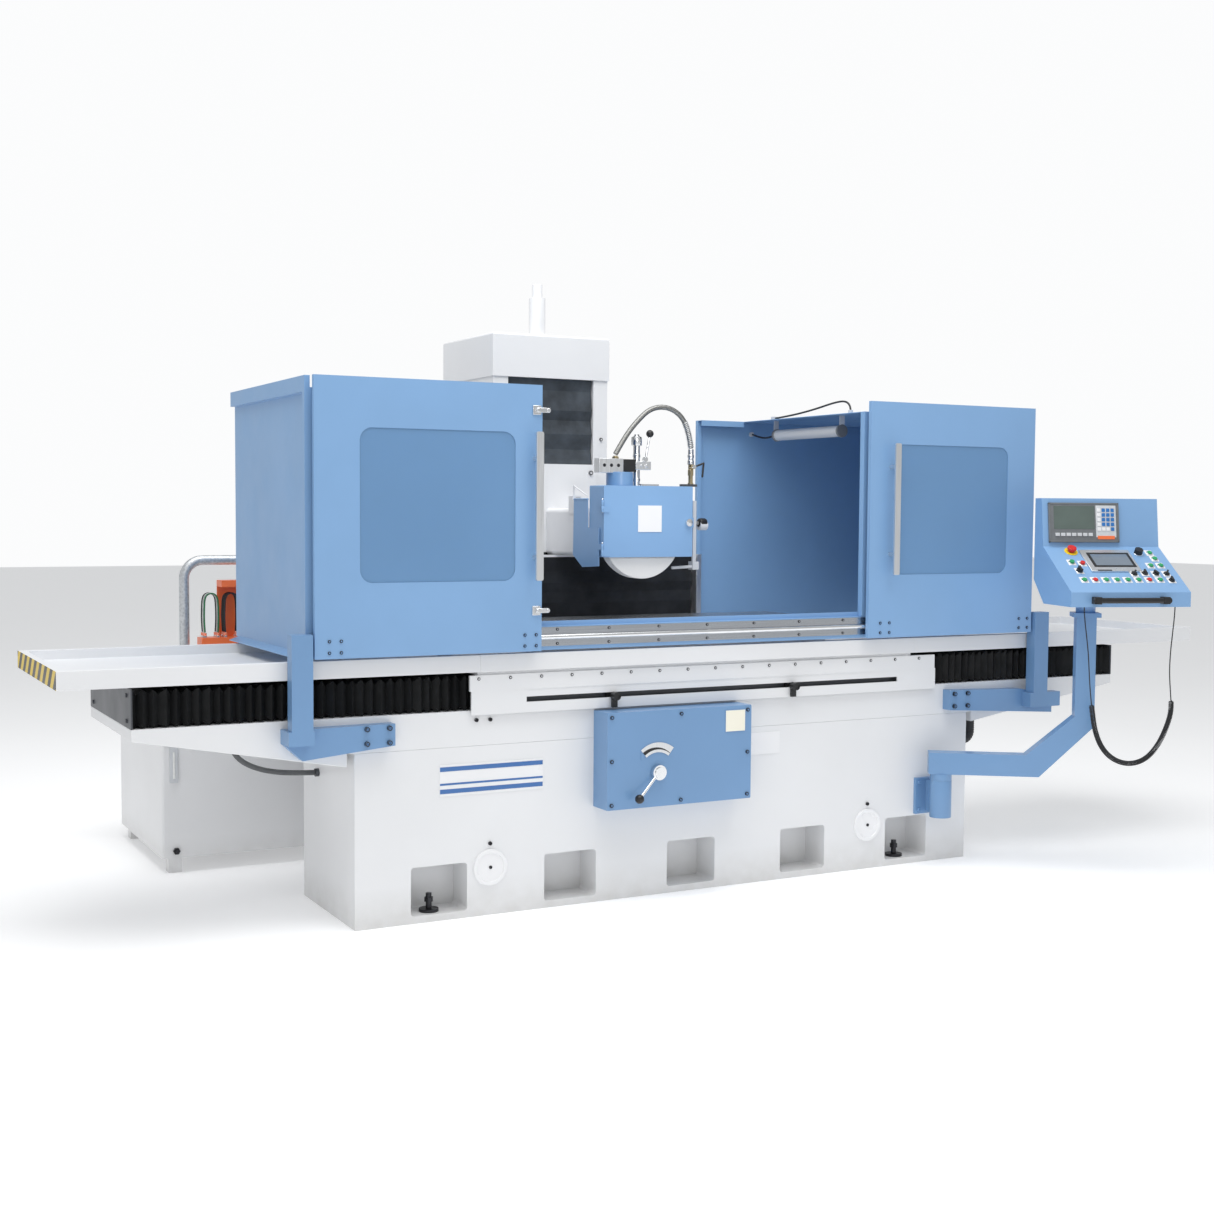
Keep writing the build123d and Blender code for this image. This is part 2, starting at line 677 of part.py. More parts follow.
def console_housing():
    """Folded sheet housing with its swivel boss, pin and front grab bar."""
    body = profile_x(console_profile(0), CONSOLE_LEFT, CONSOLE_RIGHT)
    body -= profile_x(console_profile(4), CONSOLE_LEFT + 4, CONSOLE_RIGHT - 4)
    boss = rod((0, 0, 1203.5), (0, 0, 1245), 88) + rod((0, 0, 1156), (0, 0, 1210), 30)
    front = FOLD_Y - DESK_RUN
    grab = rod((-90, front - 34, 1272), (274, front - 34, 1272), 24)
    for x in (-70, 254):
        grab += block((x - 9, x + 9), (front - 34, front), (1263, 1281))
    return on_console(body + boss + grab)


def console_panels():
    """Screen unit with keys, touch panel, blank labels and the fixed control collars."""
    parts = [screen(19, 110) * Box(340, 180, 12, align=(Align.CENTER, Align.CENTER, Align.MIN))]
    parts[0] -= screen(-29, 133) * Pos(0, 0, 10) * Box(185, 100, 10)
    for step in range(7):
        parts.append(screen(-110 + step * 27, 55) * Pos(0, 0, 15) * Box(20, 14, 6))
    for row in range(4):
        for column in range(4):
            parts.append(screen(90 + column * 24, 75 + row * 27) * Pos(0, 0, 15) * Box(18, 20, 6))
    panel = desk(98, 122) * Box(242, 170, 8, align=(Align.CENTER, Align.CENTER, Align.MIN))
    parts.append(panel - desk(105, 119) * Pos(0, 0, 7) * Box(178, 86, 6))
    parts.append(desk(*E_STOP) * Pos(0, 0, 1.5) * (Cylinder(31, 3) - Cylinder(15.5, 4)))
    for along, down in (START_BUTTON, STOP_BUTTON):
        parts.append(desk(along, down) * Pos(0, 0, 3) * (Cylinder(15, 6) - Cylinder(11.5, 7)))
    for along, down in (MODE_SELECTOR, FEED_KNOB):
        parts.append(desk(along, down) * Pos(0, 0, 1.5) * Cylinder(17, 3))
    for along, down in fixed_buttons():
        parts.append(desk(along, down) * Pos(0, 0, 5) * Cylinder(13, 10))
    for along, down in fixed_selectors():
        parts.append(desk(along, down) * Pos(0, 0, 4) * Cylinder(15, 8))
        parts.append(desk(along, down) * Pos(0, 0, 13) * Box(8, 28, 10))
    return on_console(*parts)


E_STOP = (-60, 42)
START_BUTTON = (-92, 134)
STOP_BUTTON = (-44, 143)
MODE_SELECTOR = (-80, 201)
FEED_KNOB = (263, 57)


def fixed_buttons():
    row = [(-84 + 52 * step, 272) for step in range(8)]
    return row + [(319, 57), (325, 103), (282, 159), (331, 159)]


def fixed_selectors():
    return [(175, 224), (228, 220), (280, 224), (332, 224), (335, 275)]


def e_stop():
    """Mushroom button on its stem."""
    stem = Pos(0, 0, 10) * Cylinder(15, 11)
    head = Pos(0, 0, 20) * Cylinder(21, 10)
    return on_console(desk(*E_STOP) * (stem + fillet(head.edges().sort_by(Axis.Z)[-1:], 4)))


def push_button(place):
    cap = Pos(0, 0, 9.5) * Cylinder(11, 9)
    return on_console(desk(*place) * fillet(cap.edges().sort_by(Axis.Z)[-1:], 1.5))


def mode_selector():
    """Two-wing selector knob."""
    knob = Pos(0, 0, 8.5) * Cylinder(15, 10) + Pos(0, 0, 18) * Box(9, 34, 10)
    return on_console(desk(*MODE_SELECTOR) * knob)


def feed_knob():
    """Fluted potentiometer knob."""
    knob = Pos(0, 0, 14) * Cylinder(19, 21)
    for step in range(8):
        flute = Rot(0, 0, 45 * step) * Pos(20.5, 0, 14) * Cylinder(3.5, 22)
        knob -= flute
    return on_console(desk(*FEED_KNOB) * knob)


CURLY_POINTS = [
    (-60, -110, 1236), (-58, -110, 1192), (-46, -110, 1110), (-34, -110, 1020), (-28, -110, 930),
    (-20, -110, 840), (-8, -110, 750), (6, -110, 668), (40, -110, 590), (98, -110, 535),
    (176, -110, 512), (254, -110, 532), (312, -110, 592), (352, -110, 672), (378, -110, 756),
    (370, -110, 842), (362, -110, 930), (364, -110, 1020), (372, -110, 1110), (380, -110, 1192),
    (381, -110, 1236),
]
CURL_DIAMETER = 26
LEAD_DIAMETER = 8
CURL_FIRST, CURL_LAST = 7, 14      # the points between which the cord is coiled


def curly_cord():
    """Handwheel cord hanging under the console: a coiled loop with a straight lead at each end."""
    leads = (CURLY_POINTS[:CURL_FIRST + 1], CURLY_POINTS[CURL_LAST:])
    parts = [cord(points, bend_radii(points), LEAD_DIAMETER) for points in leads]
    coil = CURLY_POINTS[CURL_FIRST:CURL_LAST + 1]
    parts.append(cord(coil, bend_radii(coil), CURL_DIAMETER))
    return on_console(parts[0] + parts[1] + parts[2])


# ---- column -------------------------------------------------------------------------
def column():
    """Upright casting with its foot, two guide strips, cap and screw cover."""
    body = block((COLUMN_LEFT, COLUMN_RIGHT), (COLUMN_FRONT + 50, COLUMN_BACK), (1138, COLUMN_SHOULDER))
    foot = block((-535, 279), (COLUMN_FRONT + 60, 1950), (BASE_HEIGHT + 1, 1140))
    body += foot
    for low, high in ((COLUMN_LEFT, SLIDE_LEFT - 4), (SLIDE_RIGHT + 4, COLUMN_RIGHT)):
        body += block((low, high), (COLUMN_FRONT, COLUMN_FRONT + 51), (1138, COLUMN_SHOULDER))
    for x in (-300, 44):
        body += block((x - 32, x + 32), (COLUMN_FRONT + 40, COLUMN_FRONT + 51), (1145, COLUMN_SHOULDER))
    width, depth = (COLUMN_LEFT - 6, COLUMN_RIGHT + 6), (COLUMN_FRONT - 8, COLUMN_BACK)
    cap = block(width, depth, (COLUMN_SHOULDER, COLUMN_TOP))
    cap = fillet(cap.edges().sort_by(Axis.Z)[-4:], 12)
    x = (COLUMN_LEFT + COLUMN_RIGHT) / 2 - 50
    cap += rod((x, 1210, COLUMN_TOP), (x, 1210, 2690), 80)
    cap += rod((x, 1210, 2690), (x, 1210, 2756), 50)
    for z in range(1200, 2280, 270):
        for side in (COLUMN_LEFT + 35, COLUMN_RIGHT - 35):
            body += screw_head(side, COLUMN_FRONT, z, 16, 6)
    return [body + curtain_foot(), cap]


def column_bellows(z_low, z_high, folds):
    """Pleated cover in front of the column guideways."""
    pitch = (z_high - z_low) / folds
    front, back = COLUMN_FRONT + 4, COLUMN_FRONT + 38
    cover = block((SLIDE_LEFT + 6, SLIDE_RIGHT - 6), (front + 7, back), (z_low, z_high))
    for step in range(folds):
        z = z_low + pitch * (step + 0.5)
        cover += block((SLIDE_LEFT, SLIDE_RIGHT), (front, back), (z - pitch * 0.3, z + pitch * 0.3))
    return cover


CURTAIN_X, CURTAIN_Y = (-835, 609), (1022, 1042)
CURTAIN_Z = (1090, 1428)


def splash_curtain():
    """Black folding curtain across the gap between the two halves of the enclosure."""
    middle = (CURTAIN_Y[0] + CURTAIN_Y[1]) / 2
    return block(CURTAIN_X, (middle - 6, middle + 6), CURTAIN_Z)


def curtain_foot():
    """Bar under the curtain, on two struts from the column's foot."""
    low = CURTAIN_Z[0] - 12
    foot = block(CURTAIN_X, CURTAIN_Y, (low, low + 10))
    for x in (-420, 160):
        foot += block((x - 20, x + 20), (CURTAIN_Y[1] - 1, COLUMN_FRONT + 61), (low, low + 10))
    return foot


def curtain_bar():
    """Bar over the curtain, under the spindle housing."""
    return block(CURTAIN_X, CURTAIN_Y, (CURTAIN_Z[1] + 2, 1441))


# ---- wheelhead ----------------------------------------------------------------------
def wheelhead():
    """Saddle on the column, spindle housing and the nose that carries the guard."""
    depth = (COLUMN_FRONT - 40, COLUMN_FRONT + 39)
    saddle = block((SLIDE_LEFT, SLIDE_RIGHT), depth, (SADDLE_BOTTOM, SADDLE_TOP))
    saddle = rounded(saddle, Axis.Y, 8)
    housing = block((-172, 202), (800, COLUMN_FRONT - 39), (1440, 1668))
    housing = fillet(housing.edges().filter_by(Axis.Y), 22)
    nose = rod((WHEEL_X, 801, WHEEL_Z), (WHEEL_X, 593, WHEEL_Z), 190)
    head = saddle + housing + nose + curtain_bar()
    head -= rod((WHEEL_X, 1050, WHEEL_Z), (WHEEL_X, 590, WHEEL_Z), 80.1)
    for x in (SLIDE_LEFT + 30, SLIDE_RIGHT - 30):
        for z in (SADDLE_BOTTOM + 40, SADDLE_TOP - 40):
            head += screw_head(x, COLUMN_FRONT - 40, z, 22, 8)
    return head


def spindle():
    """Spindle with the wheel's two clamping flanges."""
    y = WHEEL_FRONT
    shaft = rod((WHEEL_X, 1049, WHEEL_Z), (WHEEL_X, 602, WHEEL_Z), 80)
    shaft += rod((WHEEL_X, 603, WHEEL_Z), (WHEEL_X, y - 6, WHEEL_Z), 60)
    shaft += rod((WHEEL_X, y + WHEEL_WIDTH + 14, WHEEL_Z), (WHEEL_X, y + WHEEL_WIDTH, WHEEL_Z), 190)
    shaft += rod((WHEEL_X, y, WHEEL_Z), (WHEEL_X, y - 12, WHEEL_Z), 190)
    shaft += rod((WHEEL_X, y + WHEEL_WIDTH, WHEEL_Z), (WHEEL_X, y, WHEEL_Z), 127)
    return shaft


def grinding_wheel():
    y = WHEEL_FRONT
    wheel = tube((WHEEL_X, y, WHEEL_Z), (WHEEL_X, y + WHEEL_WIDTH, WHEEL_Z), WHEEL_DIAMETER, 127)
    return chamfer(wheel.edges().filter_by(GeomType.CIRCLE).sort_by(SortBy.RADIUS)[-2:], 1.5)


def wheel_guard():
    """Welded box over the wheel, open below and in front."""
    box = block((GUARD_LEFT, GUARD_RIGHT), (GUARD_FRONT, GUARD_BACK), (GUARD_BOTTOM, GUARD_TOP))
    box = rounded(box, Axis.Y, 6)
    inside = block((GUARD_LEFT + 5, GUARD_RIGHT - 5), (GUARD_FRONT - 1, GUARD_BACK - 6),
                   (GUARD_BOTTOM - 1, GUARD_TOP - 5))
    box -= inside
    box -= rod((WHEEL_X, GUARD_BACK - 7, WHEEL_Z), (WHEEL_X, GUARD_BACK + 1, WHEEL_Z), 110)
    mounting = tube((WHEEL_X, GUARD_BACK, WHEEL_Z), (WHEEL_X, 593, WHEEL_Z), 180, 110)
    box += mounting
    for z in HINGES:
        box += tube((HINGE_X, HINGE_Y, z + 29), (HINGE_X, HINGE_Y, z + 56), 12, 6.1)
        box += block((HINGE_X - 2, GUARD_LEFT), (HINGE_Y + 3.5, GUARD_FRONT + 16), (z + 29, z + 56))
    clamp = block((GUARD_RIGHT, 304), (508, 532), (1580, 1626))
    box += clamp
    return box


HINGE_X, HINGE_Y = -212, 447
HINGES = (1450, 1648)


def guard_door():
    """Front door of the guard: plate, hinge knuckles with pins, label plate and latch nut."""
    door_plate = rounded(block((GUARD_LEFT, GUARD_RIGHT), (450, 462), (GUARD_BOTTOM, GUARD_TOP)), Axis.Y, 6)
    for z in HINGES:
        door_plate += tube((HINGE_X, HINGE_Y, z), (HINGE_X, HINGE_Y, z + 28.5), 12, 6)
        door_plate += rod((HINGE_X, HINGE_Y, z), (HINGE_X, HINGE_Y, z + 58), 6)
        door_plate += block((HINGE_X, GUARD_LEFT + 26), (HINGE_Y - 1.5, 450.5), (z, z + 28.5))
        door_plate -= block((HINGE_X - 20, GUARD_LEFT + 1), (449, 463), (z + 28.6, z + 57))
    label = block((-27, 96), (448.5, 450), (1560, 1680))
    nut = rod((240, 450, 1603), (240, 436, 1603), 34) + rod((240, 436, 1603), (240, 430, 1603), 22)
    return [door_plate + nut, label]


FLAP_X = -211


def splash_flap():
    """Side flap hung from its top edge, with a stiff rod along it."""
    outline = [(735, 1705), (594, 1705), (594, 1578), (484, 1578), (482, 1404), (646, 1395), (742, 1449)]
    flap = profile_x(outline, FLAP_X, FLAP_X + 3)
    flap += rod((FLAP_X + 1.5, 735, 1708), (FLAP_X + 1.5, 594, 1708), 8)
    return flap


def flap_hanger():
    """Ears that carry the flap's hinge wire, and the thin stay above it."""
    ears = block((FLAP_X - 6, FLAP_X + 9), (736, 740), (1700, 1724))
    ears += block((FLAP_X - 6, -172), (736, 740), (1718, 1724))
    ears += block((-176, -172), (736, 860), (1640, 1724))
    return ears + rod((FLAP_X + 2, 740, 1771), (FLAP_X + 2, 600, 1723), 5) + block(
        (FLAP_X - 1, FLAP_X + 5), (736, 742), (1722, 1773))


def coolant_fittings():
    """Manifold, valve block, cylinder and brass valve on top of the guard."""
    y = HOSE_LINE
    manifold = block((-205, -80), (y - 26, y + 26), (1828, 1893))
    for x in (-178, -142):
        manifold -= rod((x, y - 27, 1862), (x, y - 16, 1862), 14)
    manifold -= rod((-106, y - 27, 1862), (-106, y - 16, 1862), 14)
    valve_block = rounded(block((-79, -15), (y - 24, y + 24), (1834, 1891)), Axis.Y, 5)
    cylinder = rod((-82, y + 7, GUARD_TOP), (-82, y + 7, 1832), 124)
    socket = rod((-108, y, 1892), (-108, y, 1906), 34)
    valve = rod((292, y, 1779), (292, y, 1900), 30) + rod((292, y, 1900), (292, y, 1945), 27)
    valve += block((262, 320), (y - 14, y + 14), (GUARD_TOP + 1, 1782))
    valve += rod((292, y - 26, 1862), (292, y, 1862), 22)
    bracket = block((240, 300), (y - 14, y + 14), (GUARD_TOP, 1774))
    return [manifold, valve_block, cylinder, socket, valve, bracket]


def valve_lever():
    """Cranked lever on the valve's spindle."""
    y = HOSE_LINE - 31
    lever = rod((292, y - 6, 1862), (292, y + 4.5, 1862), 18)
    lever += rod((292, y, 1862), (344, y, 1880), 8)
    return lever + rod((344, y, 1880), (338, y, 1818), 8) + Pos(344, y, 1880) * Sphere(4)


COOLANT_HOSE = [
    (-108, 520, 1914), (-64, 520, 1986), (-6, 520, 2058), (79, 520, 2134),
    (190, 520, 2136), (275, 520, 2062), (292, 520, 1949),
]
HOSE_OUTER = 24


def coolant_hose():
    """Armoured hose from the manifold to the valve."""
    return cord(COOLANT_HOSE, bend_radii(COOLANT_HOSE), HOSE_OUTER)


def dresser():
    """Chrome dresser column in its bracket on top of the guard."""
    y = HOSE_LINE
    post = rod((2, y, GUARD_TOP), (2, y, 1999), 30) + rod((2, y, 1999), (2, y, 2006), 22)
    post += rod((2, y, 1956), (2, y, 1994), 46)
    bracket = rounded(block((-14.5, 62), (y - 24, y + 24), (1846, 1880)), Axis.Y, 5)
    foot = block((18, 108), (y - 24, y + 24), (GUARD_TOP, GUARD_TOP + 9))
    return post + bracket + foot


DRESSER_PIVOT = (30, 1892)


def dresser_lever():
    """Hand lever with a ball, on the dresser bracket."""
    x, z = DRESSER_PIVOT
    y = HOSE_LINE - 34
    lever = rod((x, y - 5, z), (x, y + 9, z), 22) + rod((x, y, z), (x + 18, y - 4, z + 105), 9)
    return lever + Pos(x + 20, y - 4, z + 117) * Sphere(17)


def nozzle_bar():
    """Height-adjustable bar with its clamp knob, nozzle block and pipe."""
    bar = block((304.5, 322), (514, 526), (1399, 1705))
    knob = rod((322, HOSE_LINE, 1600), (340, HOSE_LINE, 1600), 18)
    knob += rod((338, HOSE_LINE, 1590), (378, HOSE_LINE, 1590), 46)
    nozzle = block((296, 330), (500, 540), (1382, 1420))
    pipe = rod((297, 512, 1396), (190, 512, 1392), 14)
    return bar + knob + nozzle + pipe


# ---- write every part ---------------------------------------------------------------
save("base", base())
save("levelling_bolts", *levelling_bolts())
save("base_plates", *lifting_plates(), *plates_and_labels())
save("bed", bed())
save("bed_end_plates", *bed_end_plates())
save("table", table())
save("table_end_covers", *table_end_covers())
save("magnetic_chuck", *magnetic_chuck())
save("trip_panel", trip_panel())
save("trip_dog_left", trip_dog(-403))
save("trip_dog_right", trip_dog(506))
save("table_bellows_left", bellows_along_x(BED_LEFT + 7, CASTING_LEFT - 1, 34))
save("table_bellows_right", bellows_along_x(CASTING_RIGHT + 1, BED_RIGHT - 7, 32))
save("left_door", door(LEFT_DOOR, LEFT_WINDOW), *door_screws([(-1666, -1619), (-849, -799)]),
     door_latch(-790, 2056), door_latch(-790, 1250))
save("left_window", window_pane(LEFT_WINDOW))
save("left_door_handle", *door_handle(-808))
save("right_door", door(RIGHT_DOOR, RIGHT_WINDOW), *door_screws([(936, 988), (1765, 1817)]))
save("right_window", window_pane(RIGHT_WINDOW))
save("right_door_handle", *door_handle(984))
save("enclosure_left", enclosure_left())
save("enclosure_right", enclosure_right())
save("front_beam", front_beam())
save("door_rails", *door_rails())
save("enclosure_posts", *enclosure_posts(), *bracket_bolts())
save("lamp", *lamp())
save("lamp_cables", *lamp_cables())
save("control_box", *control_box())
save("speed_lever", speed_lever())
save("tank", tank())
save("tank_fittings", *tank_fittings())
save("supply_pipe", supply_pipe())
save("hydraulic_station", hydraulic_station())
save("hydraulic_hoses", *hydraulic_hoses())
save("bed_hose", bed_hose())
save("conduits", *conduits())
save("arm_bracket", *arm_bracket())
save("swing_arm", swing_arm())
save("console_housing", *console_housing())
save("console_panels", *console_panels())
save("e_stop", *e_stop())
save("start_button", *push_button(START_BUTTON))
save("stop_button", *push_button(STOP_BUTTON))
save("mode_selector", *mode_selector())
save("feed_knob", *feed_knob())
save("curly_cord", *curly_cord())
save("column", *column())
save("column_bellows_upper", column_bellows(SADDLE_TOP + 2, COLUMN_SHOULDER - 1, 14))
save("column_bellows_lower", column_bellows(1146, SADDLE_BOTTOM - 2, 10), splash_curtain())
save("wheelhead", wheelhead(), flap_hanger())
save("spindle", spindle())
save("grinding_wheel", grinding_wheel())
save("wheel_guard", wheel_guard())
save("guard_door", *guard_door())
save("splash_flap", splash_flap())
save("coolant_fittings", *coolant_fittings())
save("valve_lever", valve_lever())
save("coolant_hose", coolant_hose())
save("dresser", dresser())
save("dresser_lever", dresser_lever())
save("nozzle_bar", nozzle_bar())
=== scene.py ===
import math
import random

import bmesh
import bpy
from mathutils import Matrix, Vector


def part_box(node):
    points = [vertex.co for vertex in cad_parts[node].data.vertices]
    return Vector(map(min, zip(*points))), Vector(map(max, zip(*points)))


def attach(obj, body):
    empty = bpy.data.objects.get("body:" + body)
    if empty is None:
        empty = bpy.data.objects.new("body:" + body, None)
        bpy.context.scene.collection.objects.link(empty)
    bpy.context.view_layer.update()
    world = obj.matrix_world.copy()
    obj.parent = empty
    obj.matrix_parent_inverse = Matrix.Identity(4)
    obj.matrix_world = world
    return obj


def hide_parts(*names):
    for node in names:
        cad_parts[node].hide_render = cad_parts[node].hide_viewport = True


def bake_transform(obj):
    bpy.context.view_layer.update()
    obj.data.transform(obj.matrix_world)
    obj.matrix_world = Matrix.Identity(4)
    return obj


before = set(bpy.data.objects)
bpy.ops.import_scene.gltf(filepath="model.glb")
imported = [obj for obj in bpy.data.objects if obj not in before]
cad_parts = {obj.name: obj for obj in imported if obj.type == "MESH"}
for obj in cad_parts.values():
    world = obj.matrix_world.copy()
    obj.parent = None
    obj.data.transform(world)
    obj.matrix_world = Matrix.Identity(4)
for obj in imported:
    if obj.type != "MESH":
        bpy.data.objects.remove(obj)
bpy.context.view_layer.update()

# The looks of a column-type surface grinder, built around its CAD frame.
# Mesh pieces are drawn in the part's own millimetres (Y = 0 on the bed's front face)
# and DRAWING turns them into the frame's metres. The console has planes of its own.

# ---- places ----
DRAWING = Matrix.Translation((0, -1.150, 0)) @ Matrix.Scale(0.001, 4)
ARM_PIVOT = (1295, -110)
ARM_REACH = 638
ARM_TURN = math.radians(-36)
CONSOLE_TURN = math.radians(-19)
FOLD_Y, FOLD_Z = 74, 1504          # top edge of the sloping desk, in the console's own frame
DESK_RUN, DESK_DROP = 305, 197
SCREEN_LEAN, SCREEN_RISE = 27, 223

CONSOLE = DRAWING @ Matrix.Translation((
    ARM_PIVOT[0] + ARM_REACH * math.cos(ARM_TURN),
    ARM_PIVOT[1] + ARM_REACH * math.sin(ARM_TURN),
    0,
)) @ Matrix.Rotation(CONSOLE_TURN, 4, "Z")


# Y of the faces that details stand on, and the directions that they point in.
DOOR_FACE = -96
RAIL_FACE = -56
BRACKET_FACE = -52
PANEL_FACE = -26
CONTROL_BOX_FACE = -124
COLUMN_FACE = 1150
WHEELHEAD_FACE = 1110
TANK_FACE = 1312
FITTINGS_Y = 520                   # middle of the coolant fittings and of the dresser
TOWARDS_OPERATOR = (0, -1, 0)
TOWARDS_BACK = (0, 1, 0)
TOWARDS_RIGHT = (1, 0, 0)
UPWARDS = (0, 0, 1)


def console_plane(x, y, z, run, drop):
    """Plane through a point of the console that leans by run over drop, its normal towards the operator."""
    return CONSOLE @ Matrix.Translation((x, y, z)) @ Matrix.Rotation(math.atan2(drop, run), 4, "X")


def desk(along, down):
    """Plane on the console's desk: so far along it and so far down from the fold."""
    share = down / math.hypot(DESK_RUN, DESK_DROP)
    return console_plane(along, FOLD_Y - DESK_RUN * share, FOLD_Z - DESK_DROP * share, DESK_RUN, DESK_DROP)


def screen(along, height):
    """Plane on the console's upright face, at a height above the fold."""
    lean = SCREEN_LEAN * height / SCREEN_RISE
    return console_plane(along, FOLD_Y + lean, FOLD_Z + height, SCREEN_LEAN, SCREEN_RISE)


# ---- materials ----
class Finish:
    """A procedural material: a shader and the few nodes that vary it."""

    def __init__(self, name, colour, roughness, metallic=0.0):
        self.material = bpy.data.materials.new(name)
        self.material.use_nodes = True
        self.tree = self.material.node_tree
        self.shader = self.tree.nodes["Principled BSDF"]
        self.setting("Metallic", metallic)
        self.setting("Roughness", roughness)
        self.setting("Base Color", (*colour, 1))
        self.colour = colour
        self.place = self.node("ShaderNodeTexCoord").outputs["Object"]

    def node(self, kind, **settings):
        made = self.tree.nodes.new(kind)
        for name, value in settings.items():
            setattr(made, name, value)
        return made

    def link(self, output, target):
        self.tree.links.new(output, target)

    def setting(self, name, value):
        self.shader.inputs[name].default_value = value

    def axes(self):
        """The object's own X, Y and Z."""
        parts = self.node("ShaderNodeSeparateXYZ")
        self.link(self.place, parts.inputs["Vector"])
        return parts.outputs

    def stretched(self, scale):
        """Object coordinates scaled apart along the axes."""
        mapping = self.node("ShaderNodeMapping")
        mapping.inputs["Scale"].default_value = scale
        self.link(self.place, mapping.inputs["Vector"])
        return mapping.outputs["Vector"]

    def noise(self, scale, detail, vector=None):
        noise = self.node("ShaderNodeTexNoise")
        for name, number in (("Scale", scale), ("Detail", detail), ("Roughness", 0.55)):
            noise.inputs[name].default_value = number
        self.link(vector or self.place, noise.inputs["Vector"])
        return noise.outputs["Fac"]

    def cells(self, scale):
        """Distance from the middle of each cell of a random pattern."""
        pattern = self.node("ShaderNodeTexVoronoi")
        pattern.inputs["Scale"].default_value = scale
        self.link(self.place, pattern.inputs["Vector"])
        return pattern.outputs["Distance"]

    def ranged(self, value, low, high, out_low=0.0, out_high=1.0):
        mapped = self.node("ShaderNodeMapRange")
        limits = {"From Min": low, "From Max": high, "To Min": out_low, "To Max": out_high}
        for name, number in limits.items():
            mapped.inputs[name].default_value = number
        self.link(value, mapped.inputs["Value"])
        return mapped.outputs["Result"]

    def maths(self, operation, first, second):
        worked = self.node("ShaderNodeMath", operation=operation)
        for value, target in zip((first, second), worked.inputs):
            if isinstance(value, (int, float)):
                target.default_value = value
            else:
                self.link(value, target)
        return worked.outputs[0]

    def mix(self, factor, first, second):
        """Blend of two colours, each a triple or a socket."""
        mixer = self.node("ShaderNodeMix", data_type="RGBA")
        self.link(factor, mixer.inputs["Factor"])
        for value, target in ((first, mixer.inputs[6]), (second, mixer.inputs[7])):
            if isinstance(value, tuple):
                target.default_value = (*value, 1)
            else:
                self.link(value, target)
        return mixer.outputs[2]

    def shades(self, amount, scale, vector=None):
        """The material's colour, a little darker and lighter in patches."""
        dark = tuple(channel * (1 - amount) for channel in self.colour)
        light = tuple(min(1, channel * (1 + amount)) for channel in self.colour)
        spread = self.ranged(self.noise(scale, 4, vector), 0.3, 0.7)
        return self.mix(spread, dark, light)

    def paint_with(self, colour):
        self.link(colour, self.shader.inputs["Base Color"])

    def rough_between(self, low, high, scale, vector=None):
        self.link(self.ranged(self.noise(scale, 3, vector), 0.3, 0.7, low, high),
                  self.shader.inputs["Roughness"])

    def bumped(self, height, strength, distance):
        bump = self.node("ShaderNodeBump")
        bump.inputs["Strength"].default_value = strength
        bump.inputs["Distance"].default_value = distance
        self.link(height, bump.inputs["Height"])
        self.link(bump.outputs["Normal"], self.shader.inputs["Normal"])


def painted(name, colour, roughness=0.36, grain=420):
    """Sprayed machine enamel: faint orange peel, slight shade and gloss changes."""
    finish = Finish(name, colour, roughness)
    finish.paint_with(finish.shades(0.035, 2.2))
    finish.rough_between(roughness - 0.06, roughness + 0.08, 5)
    finish.bumped(finish.noise(grain, 2), 0.12, 0.0006)
    finish.setting("Coat Weight", 0.15)
    finish.setting("Coat Roughness", 0.22)
    return finish


def cast_paint(name, colour):
    """Filled and painted cast iron: broader waves under the enamel, and greyer in patches towards the floor.
    """
    finish = Finish(name, colour, 0.42)
    near_floor = finish.ranged(finish.axes()["Z"], 0.16, 0.0)
    # Warm grey mixed in by noise patches within 0.16 m of the floor.
    floor_greying = finish.maths("MULTIPLY", near_floor, finish.noise(14, 5))
    finish.paint_with(finish.mix(floor_greying, finish.shades(0.025, 1.6), (0.60, 0.59, 0.57)))
    finish.rough_between(0.36, 0.5, 4)
    waves = finish.maths("ADD", finish.noise(26, 3), finish.noise(300, 2))
    finish.bumped(waves, 0.16, 0.0012)
    finish.setting("Coat Weight", 0.1)
    return finish


def striped_ends(name, colour):
    """White cover whose left end face has slanting black and yellow stripes."""
    finish = cast_paint(name, colour)
    left_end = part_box("table_end_covers")[0][0]
    across, deep, up = finish.axes()
    stripes_per_metre = 8.2
    slant = finish.maths("MULTIPLY", finish.maths("ADD", deep, up), stripes_per_metre)
    stripe = finish.maths("GREATER_THAN", finish.maths("FRACT", slant, 0), 0.5)
    stripes = finish.mix(stripe, (0.80, 0.56, 0.03), (0.02, 0.02, 0.02))
    on_end = finish.maths("LESS_THAN", across, left_end + 0.0012)
    finish.paint_with(finish.mix(on_end, finish.shades(0.025, 1.6), stripes))
    return finish


def brushed(name, colour, roughness, grain=(4, 260, 260)):
    """Metal with fine lines along one axis."""
    finish = Finish(name, colour, roughness, 1.0)
    lines = finish.stretched(grain)
    finish.paint_with(finish.shades(0.06, 1.0, lines))
    finish.rough_between(roughness - 0.07, roughness + 0.1, 1.0, lines)
    finish.bumped(finish.noise(1.0, 3, lines), 0.05, 0.0004)
    return finish


def polished(name, colour, roughness=0.12):
    """Chrome or machined bar: handling marks in the gloss only."""
    finish = Finish(name, colour, roughness, 1.0)
    finish.paint_with(finish.shades(0.03, 30))
    finish.rough_between(roughness, roughness + 0.12, 45)
    finish.bumped(finish.noise(700, 2), 0.03, 0.0003)
    return finish


def galvanised():
    """Zinc spangle on the supply pipe."""
    finish = Finish("galvanised_zinc", (0.62, 0.64, 0.66), 0.42, 0.85)
    spangle = finish.cells(85)
    finish.paint_with(finish.mix(spangle, (0.50, 0.52, 0.54), (0.74, 0.76, 0.78)))
    finish.rough_between(0.35, 0.55, 60)
    finish.bumped(spangle, 0.08, 0.0006)
    return finish


